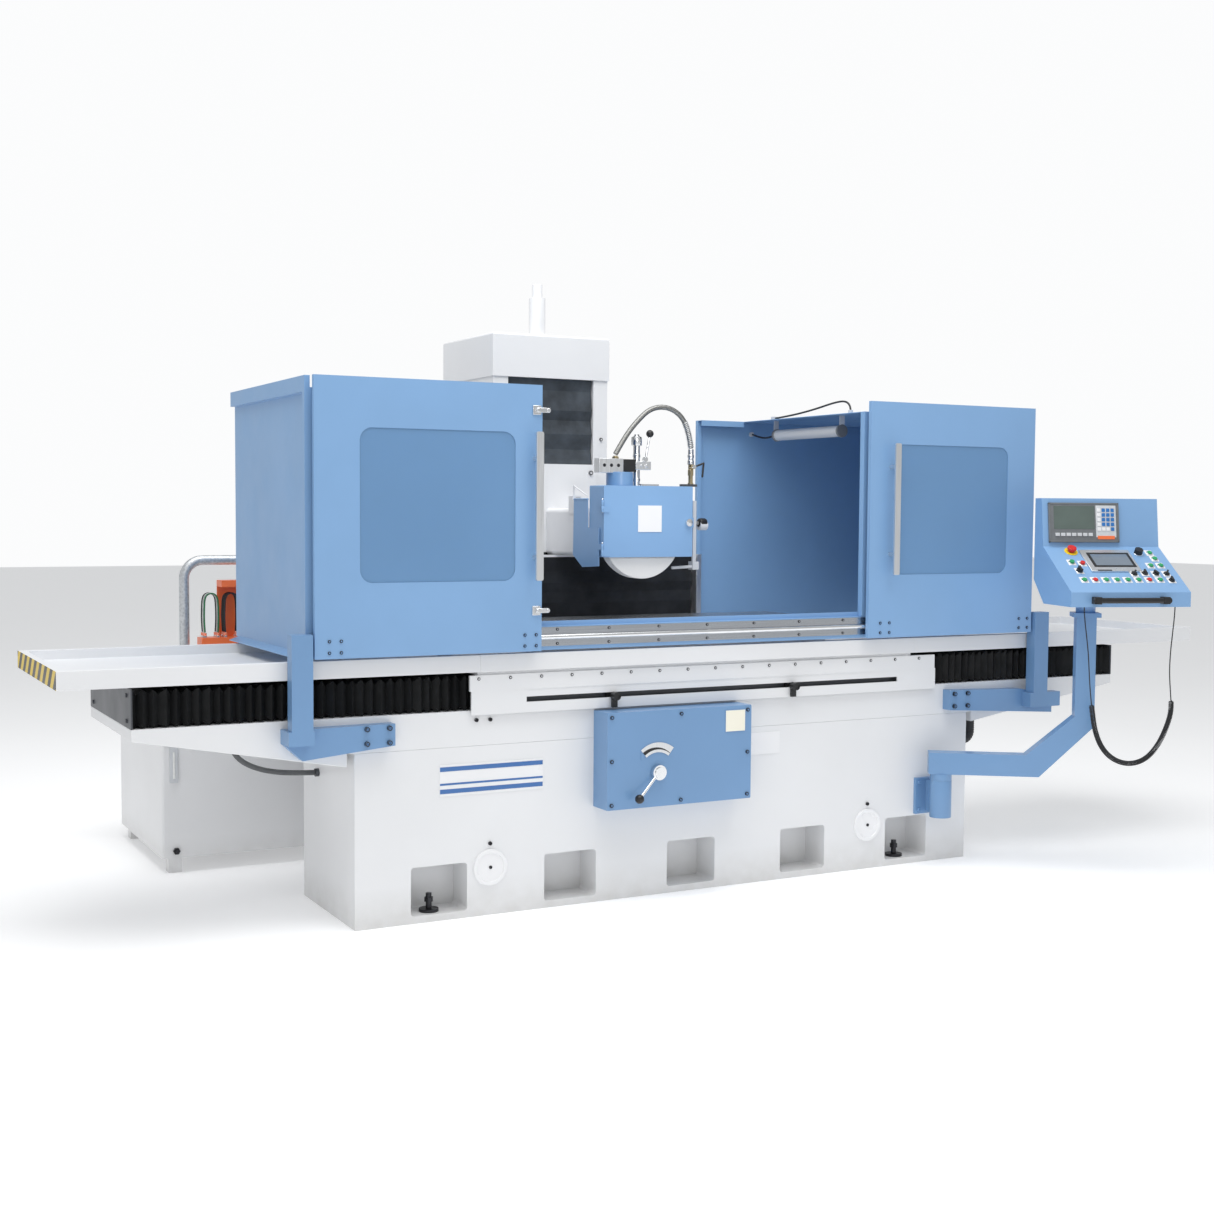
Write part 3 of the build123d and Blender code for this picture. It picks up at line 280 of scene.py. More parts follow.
def coated_cloth(name, colour):
    """Coated cloth of the bellows: woven bump under a dull skin."""
    finish = Finish(name, colour, 0.62)
    finish.paint_with(finish.shades(0.4, 9))
    finish.rough_between(0.45, 0.7, 20)
    threads = []
    for direction in ("Z", "X"):
        weave = finish.node("ShaderNodeTexWave", wave_type="BANDS", bands_direction=direction)
        weave.inputs["Scale"].default_value = 180
        weave.inputs["Distortion"].default_value = 0.4
        finish.link(finish.place, weave.inputs["Vector"])
        threads.append(weave.outputs["Fac"])
    finish.bumped(finish.maths("MULTIPLY", *threads), 0.25, 0.0005)
    finish.setting("Specular IOR Level", 0.3)
    return finish


def moulded(name, colour, roughness=0.4, texture=0.12):
    """Moulded plastic with a fine spark-eroded grain."""
    finish = Finish(name, colour, roughness)
    finish.paint_with(finish.shades(0.06, 40))
    finish.rough_between(roughness - 0.05, roughness + 0.1, 70)
    finish.bumped(finish.noise(1500, 2), texture, 0.0002)
    return finish


def hose_rubber(name, colour, roughness=0.5):
    finish = Finish(name, colour, roughness)
    finish.paint_with(finish.shades(0.18, 25))
    finish.rough_between(roughness - 0.08, roughness + 0.12, 50)
    finish.bumped(finish.noise(900, 3), 0.15, 0.0003)
    return finish


def abrasive():
    """White vitrified wheel with an open grain."""
    finish = Finish("white_abrasive", (0.82, 0.81, 0.79), 0.9)
    grains = finish.cells(900)
    finish.paint_with(finish.mix(grains, (0.94, 0.935, 0.925), (0.78, 0.77, 0.75)))
    finish.bumped(grains, 0.5, 0.0008)
    return finish


def clear_pane():
    """Blue-tinted polycarbonate, slightly hazed by wiping."""
    finish = Finish("tinted_polycarbonate", (0.235, 0.43, 0.70), 0.12)
    finish.paint_with(finish.shades(0.03, 1.5))
    finish.setting("Transmission Weight", 0.35)
    finish.setting("IOR", 1.2)
    finish.rough_between(0.1, 0.2, 3)
    return finish


def display(name, colour):
    """Display glass that is off, under a clear coat."""
    finish = Finish(name, colour, 0.08)
    finish.paint_with(finish.shades(0.12, 6))
    finish.rough_between(0.05, 0.14, 12)
    finish.setting("Coat Weight", 0.6)
    return finish


BLUE = painted("enclosure_blue_enamel", (0.225, 0.402, 0.660))
DEEP_BLUE = painted("control_blue_enamel", (0.168, 0.315, 0.540), 0.34, 500)
CASTING_WHITE = (0.80, 0.805, 0.815)
WHITE = cast_paint("casting_white_enamel", CASTING_WHITE)
STRIPED = striped_ends("cover_white_enamel", CASTING_WHITE)
PLATE_WHITE = painted("plate_white", (0.86, 0.86, 0.87), 0.3)
STRIPE_BLUE = painted("stripe_blue", (0.05, 0.16, 0.42), 0.3)
CREAM = painted("blank_label_cream", (0.90, 0.87, 0.74), 0.35)
ORANGE = painted("orange_enamel", (0.92, 0.19, 0.06), 0.33)
DARK = painted("satin_black_enamel", (0.06, 0.065, 0.075), 0.45)
STEEL = brushed("ground_steel", (0.60, 0.61, 0.63), 0.28)
ALUMINIUM = brushed("brushed_aluminium", (0.78, 0.79, 0.80), 0.34, (260, 260, 4))
BAR = brushed("drawn_bar", (0.46, 0.48, 0.51), 0.22)
SATIN = painted("satin_aluminium", (0.62, 0.64, 0.67), 0.34)
CHROME = polished("chrome", (0.82, 0.83, 0.84))
BRASS = polished("machined_brass", (0.50, 0.41, 0.25), 0.24)
ZINC = galvanised()
CLOTH = coated_cloth("black_coated_cloth", (0.003, 0.0036, 0.0042))
CURTAIN_CLOTH = coated_cloth("curtain_coated_cloth", (0.014, 0.016, 0.020))
SLATE_CLOTH = coated_cloth("slate_coated_cloth", (0.050, 0.060, 0.072))
BLACK = moulded("black_plastic", (0.014, 0.014, 0.015), 0.36)
SCREW = polished("black_oxide", (0.05, 0.05, 0.055), 0.35)
GREY = moulded("grey_plastic", (0.16, 0.17, 0.18), 0.42)
PALE = moulded("pale_grey_plastic", (0.62, 0.64, 0.66), 0.4)
RED = moulded("red_plastic", (0.62, 0.02, 0.02), 0.28, 0.04)
GREEN = moulded("green_plastic", (0.02, 0.34, 0.13), 0.28, 0.04)
YELLOW = moulded("yellow_plastic", (0.86, 0.60, 0.02), 0.38, 0.04)
KEY_BLUE = moulded("blue_key_plastic", (0.03, 0.18, 0.50), 0.35, 0.04)
RUBBER = hose_rubber("black_rubber", (0.022, 0.022, 0.024))
GREY_HOSE = hose_rubber("grey_hose", (0.10, 0.105, 0.11))
GREEN_HOSE = hose_rubber("green_hose", (0.02, 0.16, 0.06))
WHITE_HOSE = hose_rubber("white_hose", (0.55, 0.56, 0.55), 0.4)
ARMOUR = polished("interlocked_steel", (0.27, 0.27, 0.26), 0.32)
ABRASIVE = abrasive()
PANE = clear_pane()
LCD = display("grey_display", (0.10, 0.135, 0.12))
TOUCH = display("touch_display", (0.16, 0.20, 0.25))
DIFFUSER = moulded("lamp_diffuser", (0.80, 0.81, 0.80), 0.3, 0.05)


# ---- mesh pieces ----
SHARP_EDGE = math.radians(38)


def in_scene(name, data):
    obj = bpy.data.objects.new(name, data)
    bpy.context.collection.objects.link(obj)
    return obj


def mesh_data(name, builder, finish, smooth=True):
    """Turns a bmesh into mesh data with a finish, and frees it."""
    data = bpy.data.meshes.new(name)
    builder.to_mesh(data)
    builder.free()
    for polygon in data.polygons:
        polygon.use_smooth = smooth
    data.materials.append(finish.material)
    return data


class Piece:
    """Collects shapes on one plane and turns them into one object."""

    def __init__(self, place=DRAWING):
        self.place = place
        self.mesh = bmesh.new()

    def box(self, x, y, z, place=None):
        size = Vector((x[1] - x[0], y[1] - y[0], z[1] - z[0]))
        middle = Vector((x[1] + x[0], y[1] + y[0], z[1] + z[0])) / 2
        matrix = Matrix.Translation(middle) @ Matrix.Diagonal((*size, 1))
        bmesh.ops.create_cube(self.mesh, size=1, matrix=(place or Matrix()) @ matrix)
        return self

    def lathe(self, start, direction, outline, sides=40, place=None):
        """Rings of (distance along the axis, radius), closed where a radius is zero."""
        turn = Vector(UPWARDS).rotation_difference(Vector(direction)).to_matrix().to_4x4()
        matrix = (place or Matrix()) @ Matrix.Translation(start) @ turn
        rings = []
        for along, radius in outline:
            if radius == 0:
                rings.append([self.mesh.verts.new(matrix @ Vector((0, 0, along)))])
                continue
            ring = []
            for step in range(sides):
                angle = math.tau * step / sides
                point = Vector((radius * math.cos(angle), radius * math.sin(angle), along))
                ring.append(self.mesh.verts.new(matrix @ point))
            rings.append(ring)
        for lower, upper in zip(rings, rings[1:]):
            self.join_rings(lower, upper, sides)
        return self

    def join_rings(self, lower, upper, sides):
        for step in range(sides):
            after = (step + 1) % sides
            corners = [lower[step % len(lower)], lower[after % len(lower)],
                       upper[after % len(upper)], upper[step % len(upper)]]
            unique = list(dict.fromkeys(corners))
            if len(unique) > 2:
                self.mesh.faces.new(unique)

    def rod(self, start, end, diameter, sides=40):
        radius = diameter / 2
        way = Vector(end) - Vector(start)
        outline = [(0, 0), (0, radius), (way.length, radius), (way.length, 0)]
        return self.lathe(start, way, outline, sides)

    def ball(self, centre, diameter):
        bmesh.ops.create_uvsphere(self.mesh, u_segments=32, v_segments=20, radius=diameter / 2,
                                  matrix=Matrix.Translation(centre))
        return self

    def socket_screw(self, start, direction, diameter, height):
        """Cap-screw head with its rounded rim and hexagon socket."""
        radius = diameter / 2
        edge = radius * 0.14
        self.lathe(start, direction, [
            (0, radius), (height - edge, radius), (height, radius - edge), (height, radius * 0.56),
            (height * 0.45, radius * 0.5), (height * 0.4, 0),
        ], 18)
        return self

    def polygon(self, points, low, high):
        """Flat outline of (x, y) points on the piece's plane, raised from low to high."""
        bottom = [self.mesh.verts.new((x, y, low)) for x, y in points]
        top = [self.mesh.verts.new((x, y, high)) for x, y in points]
        self.mesh.faces.new(bottom[::-1])
        self.mesh.faces.new(top)
        for step in range(len(points)):
            after = (step + 1) % len(points)
            self.mesh.faces.new((bottom[step], bottom[after], top[after], top[step]))
        return self

    def done(self, name, finish, body, slot, bevel=0.0, replaces=()):
        self.mesh.normal_update()
        bmesh.ops.recalc_face_normals(self.mesh, faces=self.mesh.faces)
        data = mesh_data(name, self.mesh, finish)
        data.transform(self.place)
        data.set_sharp_from_angle(angle=SHARP_EDGE)
        obj = in_scene(name, data)
        if bevel:
            round_edges(obj, bevel)
        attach(obj, body)
        if replaces:
            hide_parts(*replaces)


def round_edges(obj, millimetres):
    edges = obj.modifiers.new("rounded_edges", "BEVEL")
    edges.width = millimetres / 1000
    edges.segments = 2
    edges.limit_method = "ANGLE"
    edges.angle_limit = SHARP_EDGE


def finish_nodes(finish, *names, bevel=0.0):
    """Give CAD nodes their material, and soften their edges where that is wanted."""
    for name in names:
        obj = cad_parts[name]
        obj.data.materials.clear()
        obj.data.materials.append(finish.material)
        if bevel:
            weld = obj.modifiers.new("weld", "WELD")
            weld.merge_threshold = 0.00002
            round_edges(obj, bevel)


# ---- cords ----
def round_curve(name, kind, points, diameter, finish, detail):
    """Curve data of one round spline with the points given."""
    data = bpy.data.curves.new(name, "CURVE")
    data.dimensions = "3D"
    data.bevel_depth = diameter / 2
    data.bevel_resolution = detail
    data.use_fill_caps = True
    spline = data.splines.new(kind)
    spline.points.add(len(points) - 1)
    for control, point in zip(spline.points, points):
        control.co = (*point, 1)
    data.materials.append(finish.material)
    return data


def spline_curve(name, points, diameter, finish):
    """Smooth open NURBS curve with the route's points as its control points."""
    data = round_curve(name, "NURBS", points, diameter, finish, 5)
    data.resolution_u = 10
    data.splines[0].order_u = 3
    data.splines[0].use_endpoint_u = True
    return in_scene(name, data)


def wire_piece(name, middle, diameter, finish):
    """Round wire along close points, as a mesh."""
    source = in_scene(name, round_curve(name, "POLY", middle, diameter, finish, 2))
    mesh = bpy.data.meshes.new_from_object(source)
    bpy.data.objects.remove(source)
    return in_scene(name, mesh)


def spline_points(points):
    """Close points along a route's own NURBS spline."""
    route = spline_curve("route", points, 0, RUBBER)
    mesh = bpy.data.meshes.new_from_object(route)
    found = [vertex.co.copy() for vertex in mesh.vertices]
    bpy.data.objects.remove(route)
    bpy.data.meshes.remove(mesh)
    return found


def line_length(points):
    return sum((after - before).length for before, after in zip(points, points[1:]))


def along_line(points, distance):
    """Point and direction at a distance along close points."""
    for before, after in zip(points, points[1:]):
        step = (after - before).length
        if distance <= step:
            return before.lerp(after, distance / step), (after - before).normalized()
        distance -= step
    return points[-1].copy(), (points[-1] - points[-2]).normalized()


def round_point(centre, ahead, sideways, radius, angle):
    """Point at an angle round a line that runs ahead through the centre."""
    side = ahead.cross(sideways).normalized()
    up = side.cross(ahead).normalized()
    return centre + radius * (math.cos(angle) * side + math.sin(angle) * up)


def ribbed_tube(name, points, radii, spacing, finish):
    """Tube along close points whose radius repeats a pattern, for ribs or armour turns."""
    sides = 20
    builder = bmesh.new()
    length = line_length(points)
    count = int(length / spacing)
    rings = []
    for step in range(count + 1):
        centre, ahead = along_line(points, length * step / count)
        radius = radii[step % len(radii)]
        ring = []
        for turn in range(sides):
            point = round_point(centre, ahead, Vector((0, 1, 0.01)), radius, math.tau * turn / sides)
            ring.append(builder.verts.new(point))
        rings.append(ring)
    for lower, upper in zip(rings, rings[1:]):
        for turn in range(sides):
            after = (turn + 1) % sides
            builder.faces.new((lower[turn], lower[after], upper[after], upper[turn]))
    builder.faces.new(rings[0][::-1])
    builder.faces.new(rings[-1])
    return in_scene(name, mesh_data(name, builder, finish))


ROOF_CABLE = [
    (0.890, -1.060, 2.128), (0.890, -1.055, 2.153), (0.890, -1.010, 2.172), (0.890, -0.920, 2.166),
    (0.890, -0.800, 2.148), (0.890, -0.680, 2.134), (0.890, -0.560, 2.124), (0.890, -0.448, 2.118),
]
LAMP_LEAD = [
    (0.945, -0.373, 2.038), (0.945, -0.338, 2.034), (0.945, -0.280, 2.028), (0.945, -0.220, 2.034),
    (0.945, -0.156, 2.051),
]
HOSE_LOOP = [
    (0, 1.079), (-0.004, 1.132), (-0.003, 1.188), (0, 1.242), (0.0176, 1.260),
    (0.0424, 1.260), (0.060, 1.242), (0.063, 1.188), (0.064, 1.132), (0.060, 1.079),
]
BED_HOSE = [
    (-1.900, -0.695, 0.690), (-1.884, -0.695, 0.655), (-1.845, -0.695, 0.620), (-1.785, -0.695, 0.592),
    (-1.715, -0.695, 0.575), (-1.635, -0.695, 0.566), (-1.552, -0.695, 0.562),
]
COOLANT_HOSE = [
    (-0.108, -0.630, 1.914), (-0.064, -0.630, 1.986), (-0.006, -0.630, 2.058), (0.079, -0.630, 2.134),
    (0.190, -0.630, 2.136), (0.275, -0.630, 2.062), (0.292, -0.630, 1.949),
]
CURLY_CORD = [                     # in the console's own frame, in metres
    (-0.060, -0.110, 1.236), (-0.058, -0.110, 1.192), (-0.046, -0.110, 1.110), (-0.034, -0.110, 1.020),
    (-0.028, -0.110, 0.930), (-0.020, -0.110, 0.840), (-0.008, -0.110, 0.750), (0.006, -0.110, 0.668),
    (0.040, -0.110, 0.590), (0.098, -0.110, 0.535), (0.176, -0.110, 0.512), (0.254, -0.110, 0.532),
    (0.312, -0.110, 0.592), (0.352, -0.110, 0.672), (0.378, -0.110, 0.756), (0.370, -0.110, 0.842),
    (0.362, -0.110, 0.930), (0.364, -0.110, 1.020), (0.372, -0.110, 1.110), (0.380, -0.110, 1.192),
    (0.381, -0.110, 1.236),
]
CABLE_DIAMETER = 0.009
HYDRAULIC_DIAMETER = 0.0075
BED_HOSE_DIAMETER = 0.022


def declare(obj, points, body, node, path=None):
    length = line_length(path or spline_points(points))
    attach(obj, body)
    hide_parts(node)


def lamp_cables():
    for name, points in (("roof_cable", ROOF_CABLE), ("lamp_lead", LAMP_LEAD)):
        cable = spline_curve(name, points, CABLE_DIAMETER, RUBBER)
        declare(cable, points, "machine", "lamp_cables")


def hydraulic_hoses():
    """Two groups of three hoses, of mixed colours on the left."""
    colours = {(0, 0): GREEN_HOSE, (0, 1): WHITE_HOSE, (0, 2): RUBBER}
    for group, start in enumerate((-1.750, -1.655)):
        for row, offset in enumerate((-0.025, 0, 0.025)):
            points = [(start + x, 0.350 + offset, z) for x, z in HOSE_LOOP]
            finish = colours.get((group, row), RUBBER)
            hose = spline_curve(f"hydraulic_hose_{group}_{row}", points, HYDRAULIC_DIAMETER, finish)
            declare(hose, points, "machine", "hydraulic_hoses")


def bed_hose():
    hose = spline_curve("bed_return_hose", BED_HOSE, BED_HOSE_DIAMETER, GREY_HOSE)
    declare(hose, BED_HOSE, "machine", "bed_hose")


def coolant_hose():
    """Interlocked metal hose: a step in radius at every turn of its strip."""
    points = spline_points(COOLANT_HOSE)
    hose = ribbed_tube("armoured_hose", points, (0.012, 0.012, 0.0104), 0.0022, ARMOUR)
    declare(hose, COOLANT_HOSE, "wheelhead", "coolant_hose", points)
    return points


def hose_spring(line):
    """Bend-protection spring wound round the hose where it comes down to the valve."""
    span, turns, steps = 0.125, 15, 14
    coil_radius, wire, clear_of_end = 0.0138, 0.0034, 0.001
    lower_end = line_length(line) - clear_of_end
    middle = []
    for step in range(turns * steps + 1):
        centre, ahead = along_line(line, lower_end - span * step / (turns * steps))
        middle.append(round_point(centre, ahead, Vector(TOWARDS_BACK), coil_radius, math.tau * step / steps))
    spring = wire_piece("hose_spring", middle, wire, CHROME)
    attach(spring, "wheelhead")


def curly_cord():
    """Straight lead, a sleeve of close turns round the hanging loop, and a straight lead."""
    to_frame = CONSOLE @ Matrix.Scale(1000, 4)
    points = [tuple(to_frame @ Vector(point)) for point in CURLY_CORD]
    line = spline_points(points)
    length = line_length(line)
    first, last = 0.275 * length, 0.735 * length
    wire, coil_radius, pitch = 0.0052, 0.0098, 0.0062
    turns = int((last - first) / pitch)
    steps, straight_steps = 12, 40
    centres = [along_line(line, first * step / straight_steps)[0] for step in range(straight_steps)]
    sideways = Vector((math.sin(-CONSOLE_TURN), math.cos(CONSOLE_TURN), 0))
    for step in range(turns * steps + 1):
        centre, ahead = along_line(line, first + (last - first) * step / (turns * steps))
        across = ahead.cross(sideways).normalized()
        angle = math.tau * step / steps
        swell = min(1, step / steps, (turns * steps - step) / steps)
        offset = math.cos(angle) * sideways + math.sin(angle) * across
        centres.append(centre + coil_radius * swell * offset)
    for step in range(1, straight_steps + 1):
        centres.append(along_line(line, last + (length - last) * step / straight_steps)[0])
    cord_piece = wire_piece("curly_handwheel_cord", centres, wire, RUBBER)
    declare(cord_piece, points, "console", "curly_cord", centres)


# ---- camera, lights and floor ----
def camera():
    """Seen from the left at eye height, level with the doors."""
    data = bpy.data.cameras.new("view_camera")
    data.lens = 47.16
    data.sensor_width = 36
    obj = in_scene("view_camera", data)
    eye = (-3.560, -7.046, 1.650)
    yaw, pitch, roll = math.radians(28.012), math.radians(3.421), math.radians(0.374)
    obj.matrix_world = (
        Matrix.Translation(eye)
        @ Matrix.Rotation(-yaw, 4, "Z")
        @ Matrix.Rotation(math.pi / 2 - pitch, 4, "X")
        @ Matrix.Rotation(roll, 4, "Z")
    )
    bpy.context.scene.camera = obj


def add_light(name, data, place, target):
    obj = in_scene(name, data)
    aim = Vector(target) - Vector(place)
    obj.matrix_world = Matrix.Translation(place) @ aim.to_track_quat("-Z", "Y").to_matrix().to_4x4()


def area_light(name, place, target, size, power):
    data = bpy.data.lights.new(name, "AREA")
    data.shape = "RECTANGLE"
    data.size, data.size_y = size
    data.energy = power
    add_light(name, data, place, target)


def spot_light(name, place, target, degrees, power):
    """Soft-edged lamp that fills the recess of the wheelhead."""
    data = bpy.data.lights.new(name, "SPOT")
    data.spot_size = math.radians(degrees)
    data.spot_blend = 1
    data.shadow_soft_size = 0.45
    data.energy = power
    add_light(name, data, place, target)


def studio():
    """Soft even light all round, a paler backdrop behind it and three lamps."""
    world = bpy.data.worlds.new("studio")
    world.use_nodes = True
    tree = world.node_tree
    soft = tree.nodes["Background"]
    backdrop = tree.nodes.new("ShaderNodeBackground")
    for background, colour, strength in (
        (soft, (0.97, 0.985, 1, 1), 0.51),
        (backdrop, (0.97, 0.975, 0.98, 1), 1.0),
    ):
        background.inputs["Color"].default_value = colour
        background.inputs["Strength"].default_value = strength
    seen = tree.nodes.new("ShaderNodeLightPath")
    either = tree.nodes.new("ShaderNodeMixShader")
    tree.links.new(seen.outputs["Is Camera Ray"], either.inputs["Fac"])
    tree.links.new(soft.outputs["Background"], either.inputs[1])
    tree.links.new(backdrop.outputs["Background"], either.inputs[2])
    tree.links.new(either.outputs["Shader"], tree.nodes["World Output"].inputs["Surface"])
    bpy.context.scene.world = world
    bpy.context.scene.view_settings.view_transform = "Standard"
    area_light("overhead", (-1.0, -2.0, 6.5), (0, 0, 0.8), (7, 5), 370)
    area_light("front", (-5.0, -8.5, 4.5), (0, 0, 1.2), (5, 3.5), 48)
    spot_light("head", (-1.2, -5.2, 2.4), (0.0, -0.65, 1.62), 15, 270)


def pale_floor():
    """Even studio floor that carries on into the pale backdrop."""
    finish = Finish("pale_floor", (0.94, 0.94, 0.94), 0.75)
    finish.paint_with(finish.shades(0.006, 0.8))
    finish.setting("Emission Color", (0.97, 0.98, 1, 1))
    finish.setting("Emission Strength", 0.20)
    return finish


def floor():
    slab = Piece(Matrix()).box((-40, 40), (-40, 40), (-0.02, 0))
    in_scene("floor", mesh_data("floor", slab.mesh, pale_floor(), smooth=False))


# ---- CAD nodes that keep their shape ----
def materials_of_the_frame():
    finish_nodes(WHITE, "base", bevel=4)
    finish_nodes(WHITE, "bed", "column", "tank", bevel=3)
    finish_nodes(WHITE, "table", "trip_panel", "wheelhead", bevel=1.5)
    finish_nodes(STRIPED, "table_end_covers", bevel=2)
    finish_nodes(BLUE, "left_door", "right_door", bevel=1)
    finish_nodes(BLUE, "enclosure_left", "enclosure_right", "front_beam", bevel=0.8)
    finish_nodes(BLUE, "splash_flap", "console_housing", "wheel_guard", "guard_door", bevel=0.8)
    finish_nodes(DEEP_BLUE, "enclosure_posts", "swing_arm", "arm_bracket", "control_box", bevel=1.2)
    finish_nodes(STEEL, "magnetic_chuck", "spindle")
    finish_nodes(SCREW, "levelling_bolts")
    finish_nodes(BAR, "door_rails")
    finish_nodes(ALUMINIUM, "left_door_handle", "right_door_handle")
    finish_nodes(SATIN, "lamp", "nozzle_bar")
    finish_nodes(DARK, "bed_end_plates", "conduits")
    finish_nodes(BLACK, "trip_dog_left", "trip_dog_right", "mode_selector", "feed_knob")
    finish_nodes(CHROME, "speed_lever", "dresser", "dresser_lever", "valve_lever")
    finish_nodes(ORANGE, "hydraulic_station", bevel=1)
    finish_nodes(ZINC, "supply_pipe")
    finish_nodes(ABRASIVE, "grinding_wheel")
    finish_nodes(PANE, "left_window", "right_window")
    finish_nodes(RED, "e_stop", "stop_button")
    finish_nodes(GREEN, "start_button")


# ---- bellows ----
def pleats(low, high, folds, depth, seed):
    """Distances along the bellows and how far each crease stands in, slightly uneven."""
    chance = random.Random(seed)
    pitch = (high - low) / folds
    creases = []
    for step in range(2 * folds + 1):
        inner = depth if step % 2 else 0
        if 0 < step < 2 * folds:
            place = low + pitch * (step + chance.uniform(-0.22, 0.22)) / 2
            inner += chance.uniform(-0.12, 0.12) * depth
        else:
            place = low + pitch * step / 2
        creases.append((place, max(0, inner)))
    return creases


def folded_cloth(name, finish, creases, outline, node):
    """Cloth over creases: outline(place, inner) gives one cross-section of points in millimetres."""
    builder = bmesh.new()
    rows = []
    for place, inner in creases:
        rows.append([builder.verts.new(DRAWING @ Vector(point)) for point in outline(place, inner)])
    for before, after in zip(rows, rows[1:]):
        for step in range(len(before) - 1):
            builder.faces.new((before[step], before[step + 1], after[step + 1], after[step]))
    bmesh.ops.recalc_face_normals(builder, faces=builder.faces)
    obj = in_scene(name, mesh_data(name, builder, finish, smooth=False))
    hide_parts(node)
    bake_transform(obj)
    thick = obj.modifiers.new("thickness", "SOLIDIFY")
    thick.thickness = 0.0014
    thick.offset = -1


def way_bellows(name, folds, fixed, moving, seed):
    """Inverted-U cover over the bed's ways."""
    front, back, bottom, top = 8, 786, 847, 988
    fold_depth = 20

    def outline(place, inner):
        skirt = bottom + inner * 0.5
        return [
            (place, front + inner, skirt), (place, front + inner, (skirt + top) / 2),
            (place, front + inner, top - inner), (place, back - inner, top - inner),
            (place, back - inner, skirt),
        ]

    creases = pleats(*sorted((fixed, moving)), folds, fold_depth, seed)
    folded_cloth(name + "_cloth", CLOTH, creases, outline, name)


def hanging_cover(name, finish, width, depth, fixed, moving, seed, node):
    """Flat cover of three folds that hangs between the column's foot or cap and the wheelhead."""
    left, right = width
    front, back = depth

    def outline(place, inner):
        pulled_in = inner * 0.06
        return [
            (left + pulled_in, back, place), (left + pulled_in, front + inner, place),
            (right - pulled_in, front + inner, place), (right - pulled_in, back, place),
        ]

    creases = pleats(*sorted((fixed, moving)), 3, (back - front) * 0.5, seed)
    folded_cloth(name, finish, creases, outline, node)


def all_bellows():
    way_bellows("table_bellows_left", 34, -2378, -1021, 3)
    way_bellows("table_bellows_right", 32, 2468, 1181, 4)
    width, depth = (-356, 100), (1158, 1182)
    hanging_cover("upper_column_cover", SLATE_CLOTH, width, depth, 2299, 1884, 5, "column_bellows_upper")
    hanging_cover("lower_column_cover", CURTAIN_CLOTH, width, depth, 1146, 1450, 6, "column_bellows_lower")
    hanging_cover("splash_curtain", CURTAIN_CLOTH, (-835, 609), (1024, 1040), 1090, 1428, 7,
                  "column_bellows_lower")


# ---- fasteners ----
def screws(name, body, spots, diameter, height, y):
    """Black cap screws on a face that looks towards the operator."""
    piece = Piece()
    for x, z in spots:
        piece.socket_screw((x, y, z), TOWARDS_OPERATOR, diameter, height)
    piece.done(name, SCREW, body, "dark_steel")


def grid(across, up):
    """Every spot of a grid, as pairs of one value across and one up it."""
    return [(x, z) for x in across for z in up]


def all_screws():
    for door, hangers in (("left_door", (-1666, -1619, -849, -799)), ("right_door", (936, 988, 1765, 1817))):
        screws(door + "_screws", door, grid(hangers, (1108, 1152)), 12.8, 4.5, DOOR_FACE)
    screws("rail_screws", "machine", grid(range(-1643, 1824, 240), (1168, 1110)), 11.8, 3.6, RAIL_FACE)
    screws("trip_panel_screws", "table", grid(range(-1020, 1314, 140), (975,)), 12.8, 3.6, PANEL_FACE)
    lid_spots = grid((-463, -129, 205), (430, 798)) + grid((-463, 205), (614,))
    screws("control_box_screws", "machine", lid_spots, 16.8, 6.6, CONTROL_BOX_FACE)
    bolts = grid((-1410, -1502), (802, 745)) + grid((1415, 1495), (800, 742))
    screws("bracket_bolts", "machine", bolts, 20.8, 12.6, BRACKET_FACE)
    screws("column_screws", "column", grid((-403, 147), range(1200, 2280, 270)), 16.8, 6.6, COLUMN_FACE)
    screws("wheelhead_screws", "wheelhead", grid((-326, 70), (1492, 1842)), 22.8, 8.6, WHEELHEAD_FACE)
    screws("base_screws", "machine", [(-1020, 806), (-959, 805)], 16, 9, 0)


# ---- plates on the base ----
LIFTING_HOLES = ((-958, 198), (952, 206))


def base_plates():
    """Round lifting-hole covers, the striped badge and the blank notice plate."""
    covers = Piece()
    pins = Piece()
    for x, z in LIFTING_HOLES:
        covers.lathe((x, 0, z), TOWARDS_OPERATOR, [(0, 75), (7, 75), (10, 72), (10, 61), (6, 58), (6, 0)], 72)
        pins.socket_screw((x, 0, z + 98), TOWARDS_OPERATOR, 16, 8)
        pins.socket_screw((x, -6, z), TOWARDS_OPERATOR, 14, 4)
    covers.done("lifting_hole_covers", PLATE_WHITE, "machine", "plain_plate", replaces=("base_plates",))
    pins.done("lifting_cover_screws", SCREW, "machine", "dark_steel")
    badge = Piece().box((-1180, -720), (-3, 0), (505, 632))
    badge.done("badge_plate", PLATE_WHITE, "machine", "plain_plate", 0.5)
    stripes = Piece()
    for middle, half in ((614, 9), (553, 4), (524, 9)):
        stripes.box((-1178, -722), (-4, -3), (middle - half, middle + half))
    stripes.done("badge_stripes", STRIPE_BLUE, "machine", "plain_plate")
    notice = Piece().box((291, 457), (-3, 0), (576, 674))
    notice.done("blank_notice_plate", PLATE_WHITE, "machine", "plain_plate", 0.5)


# ---- control box ----
DIAL_FACE = CONTROL_BOX_FACE - 2
DIAL = DRAWING @ Matrix.Translation((-244, DIAL_FACE, 557)) @ Matrix.Rotation(math.pi / 2, 4, "X")


def sector(inner, outer_start, outer_end):
    """Outline between an arc and one above it whose radius changes from start to end."""
    angles = [math.radians(angle) for angle in range(52, 135, 6)]
    points = []
    for step, angle in enumerate(angles):
        radius = outer_start + (outer_end - outer_start) * step / (len(angles) - 1)
        points.append((radius * math.cos(angle), radius * math.sin(angle)))
    return points + [(inner * math.cos(angle), inner * math.sin(angle)) for angle in reversed(angles)]


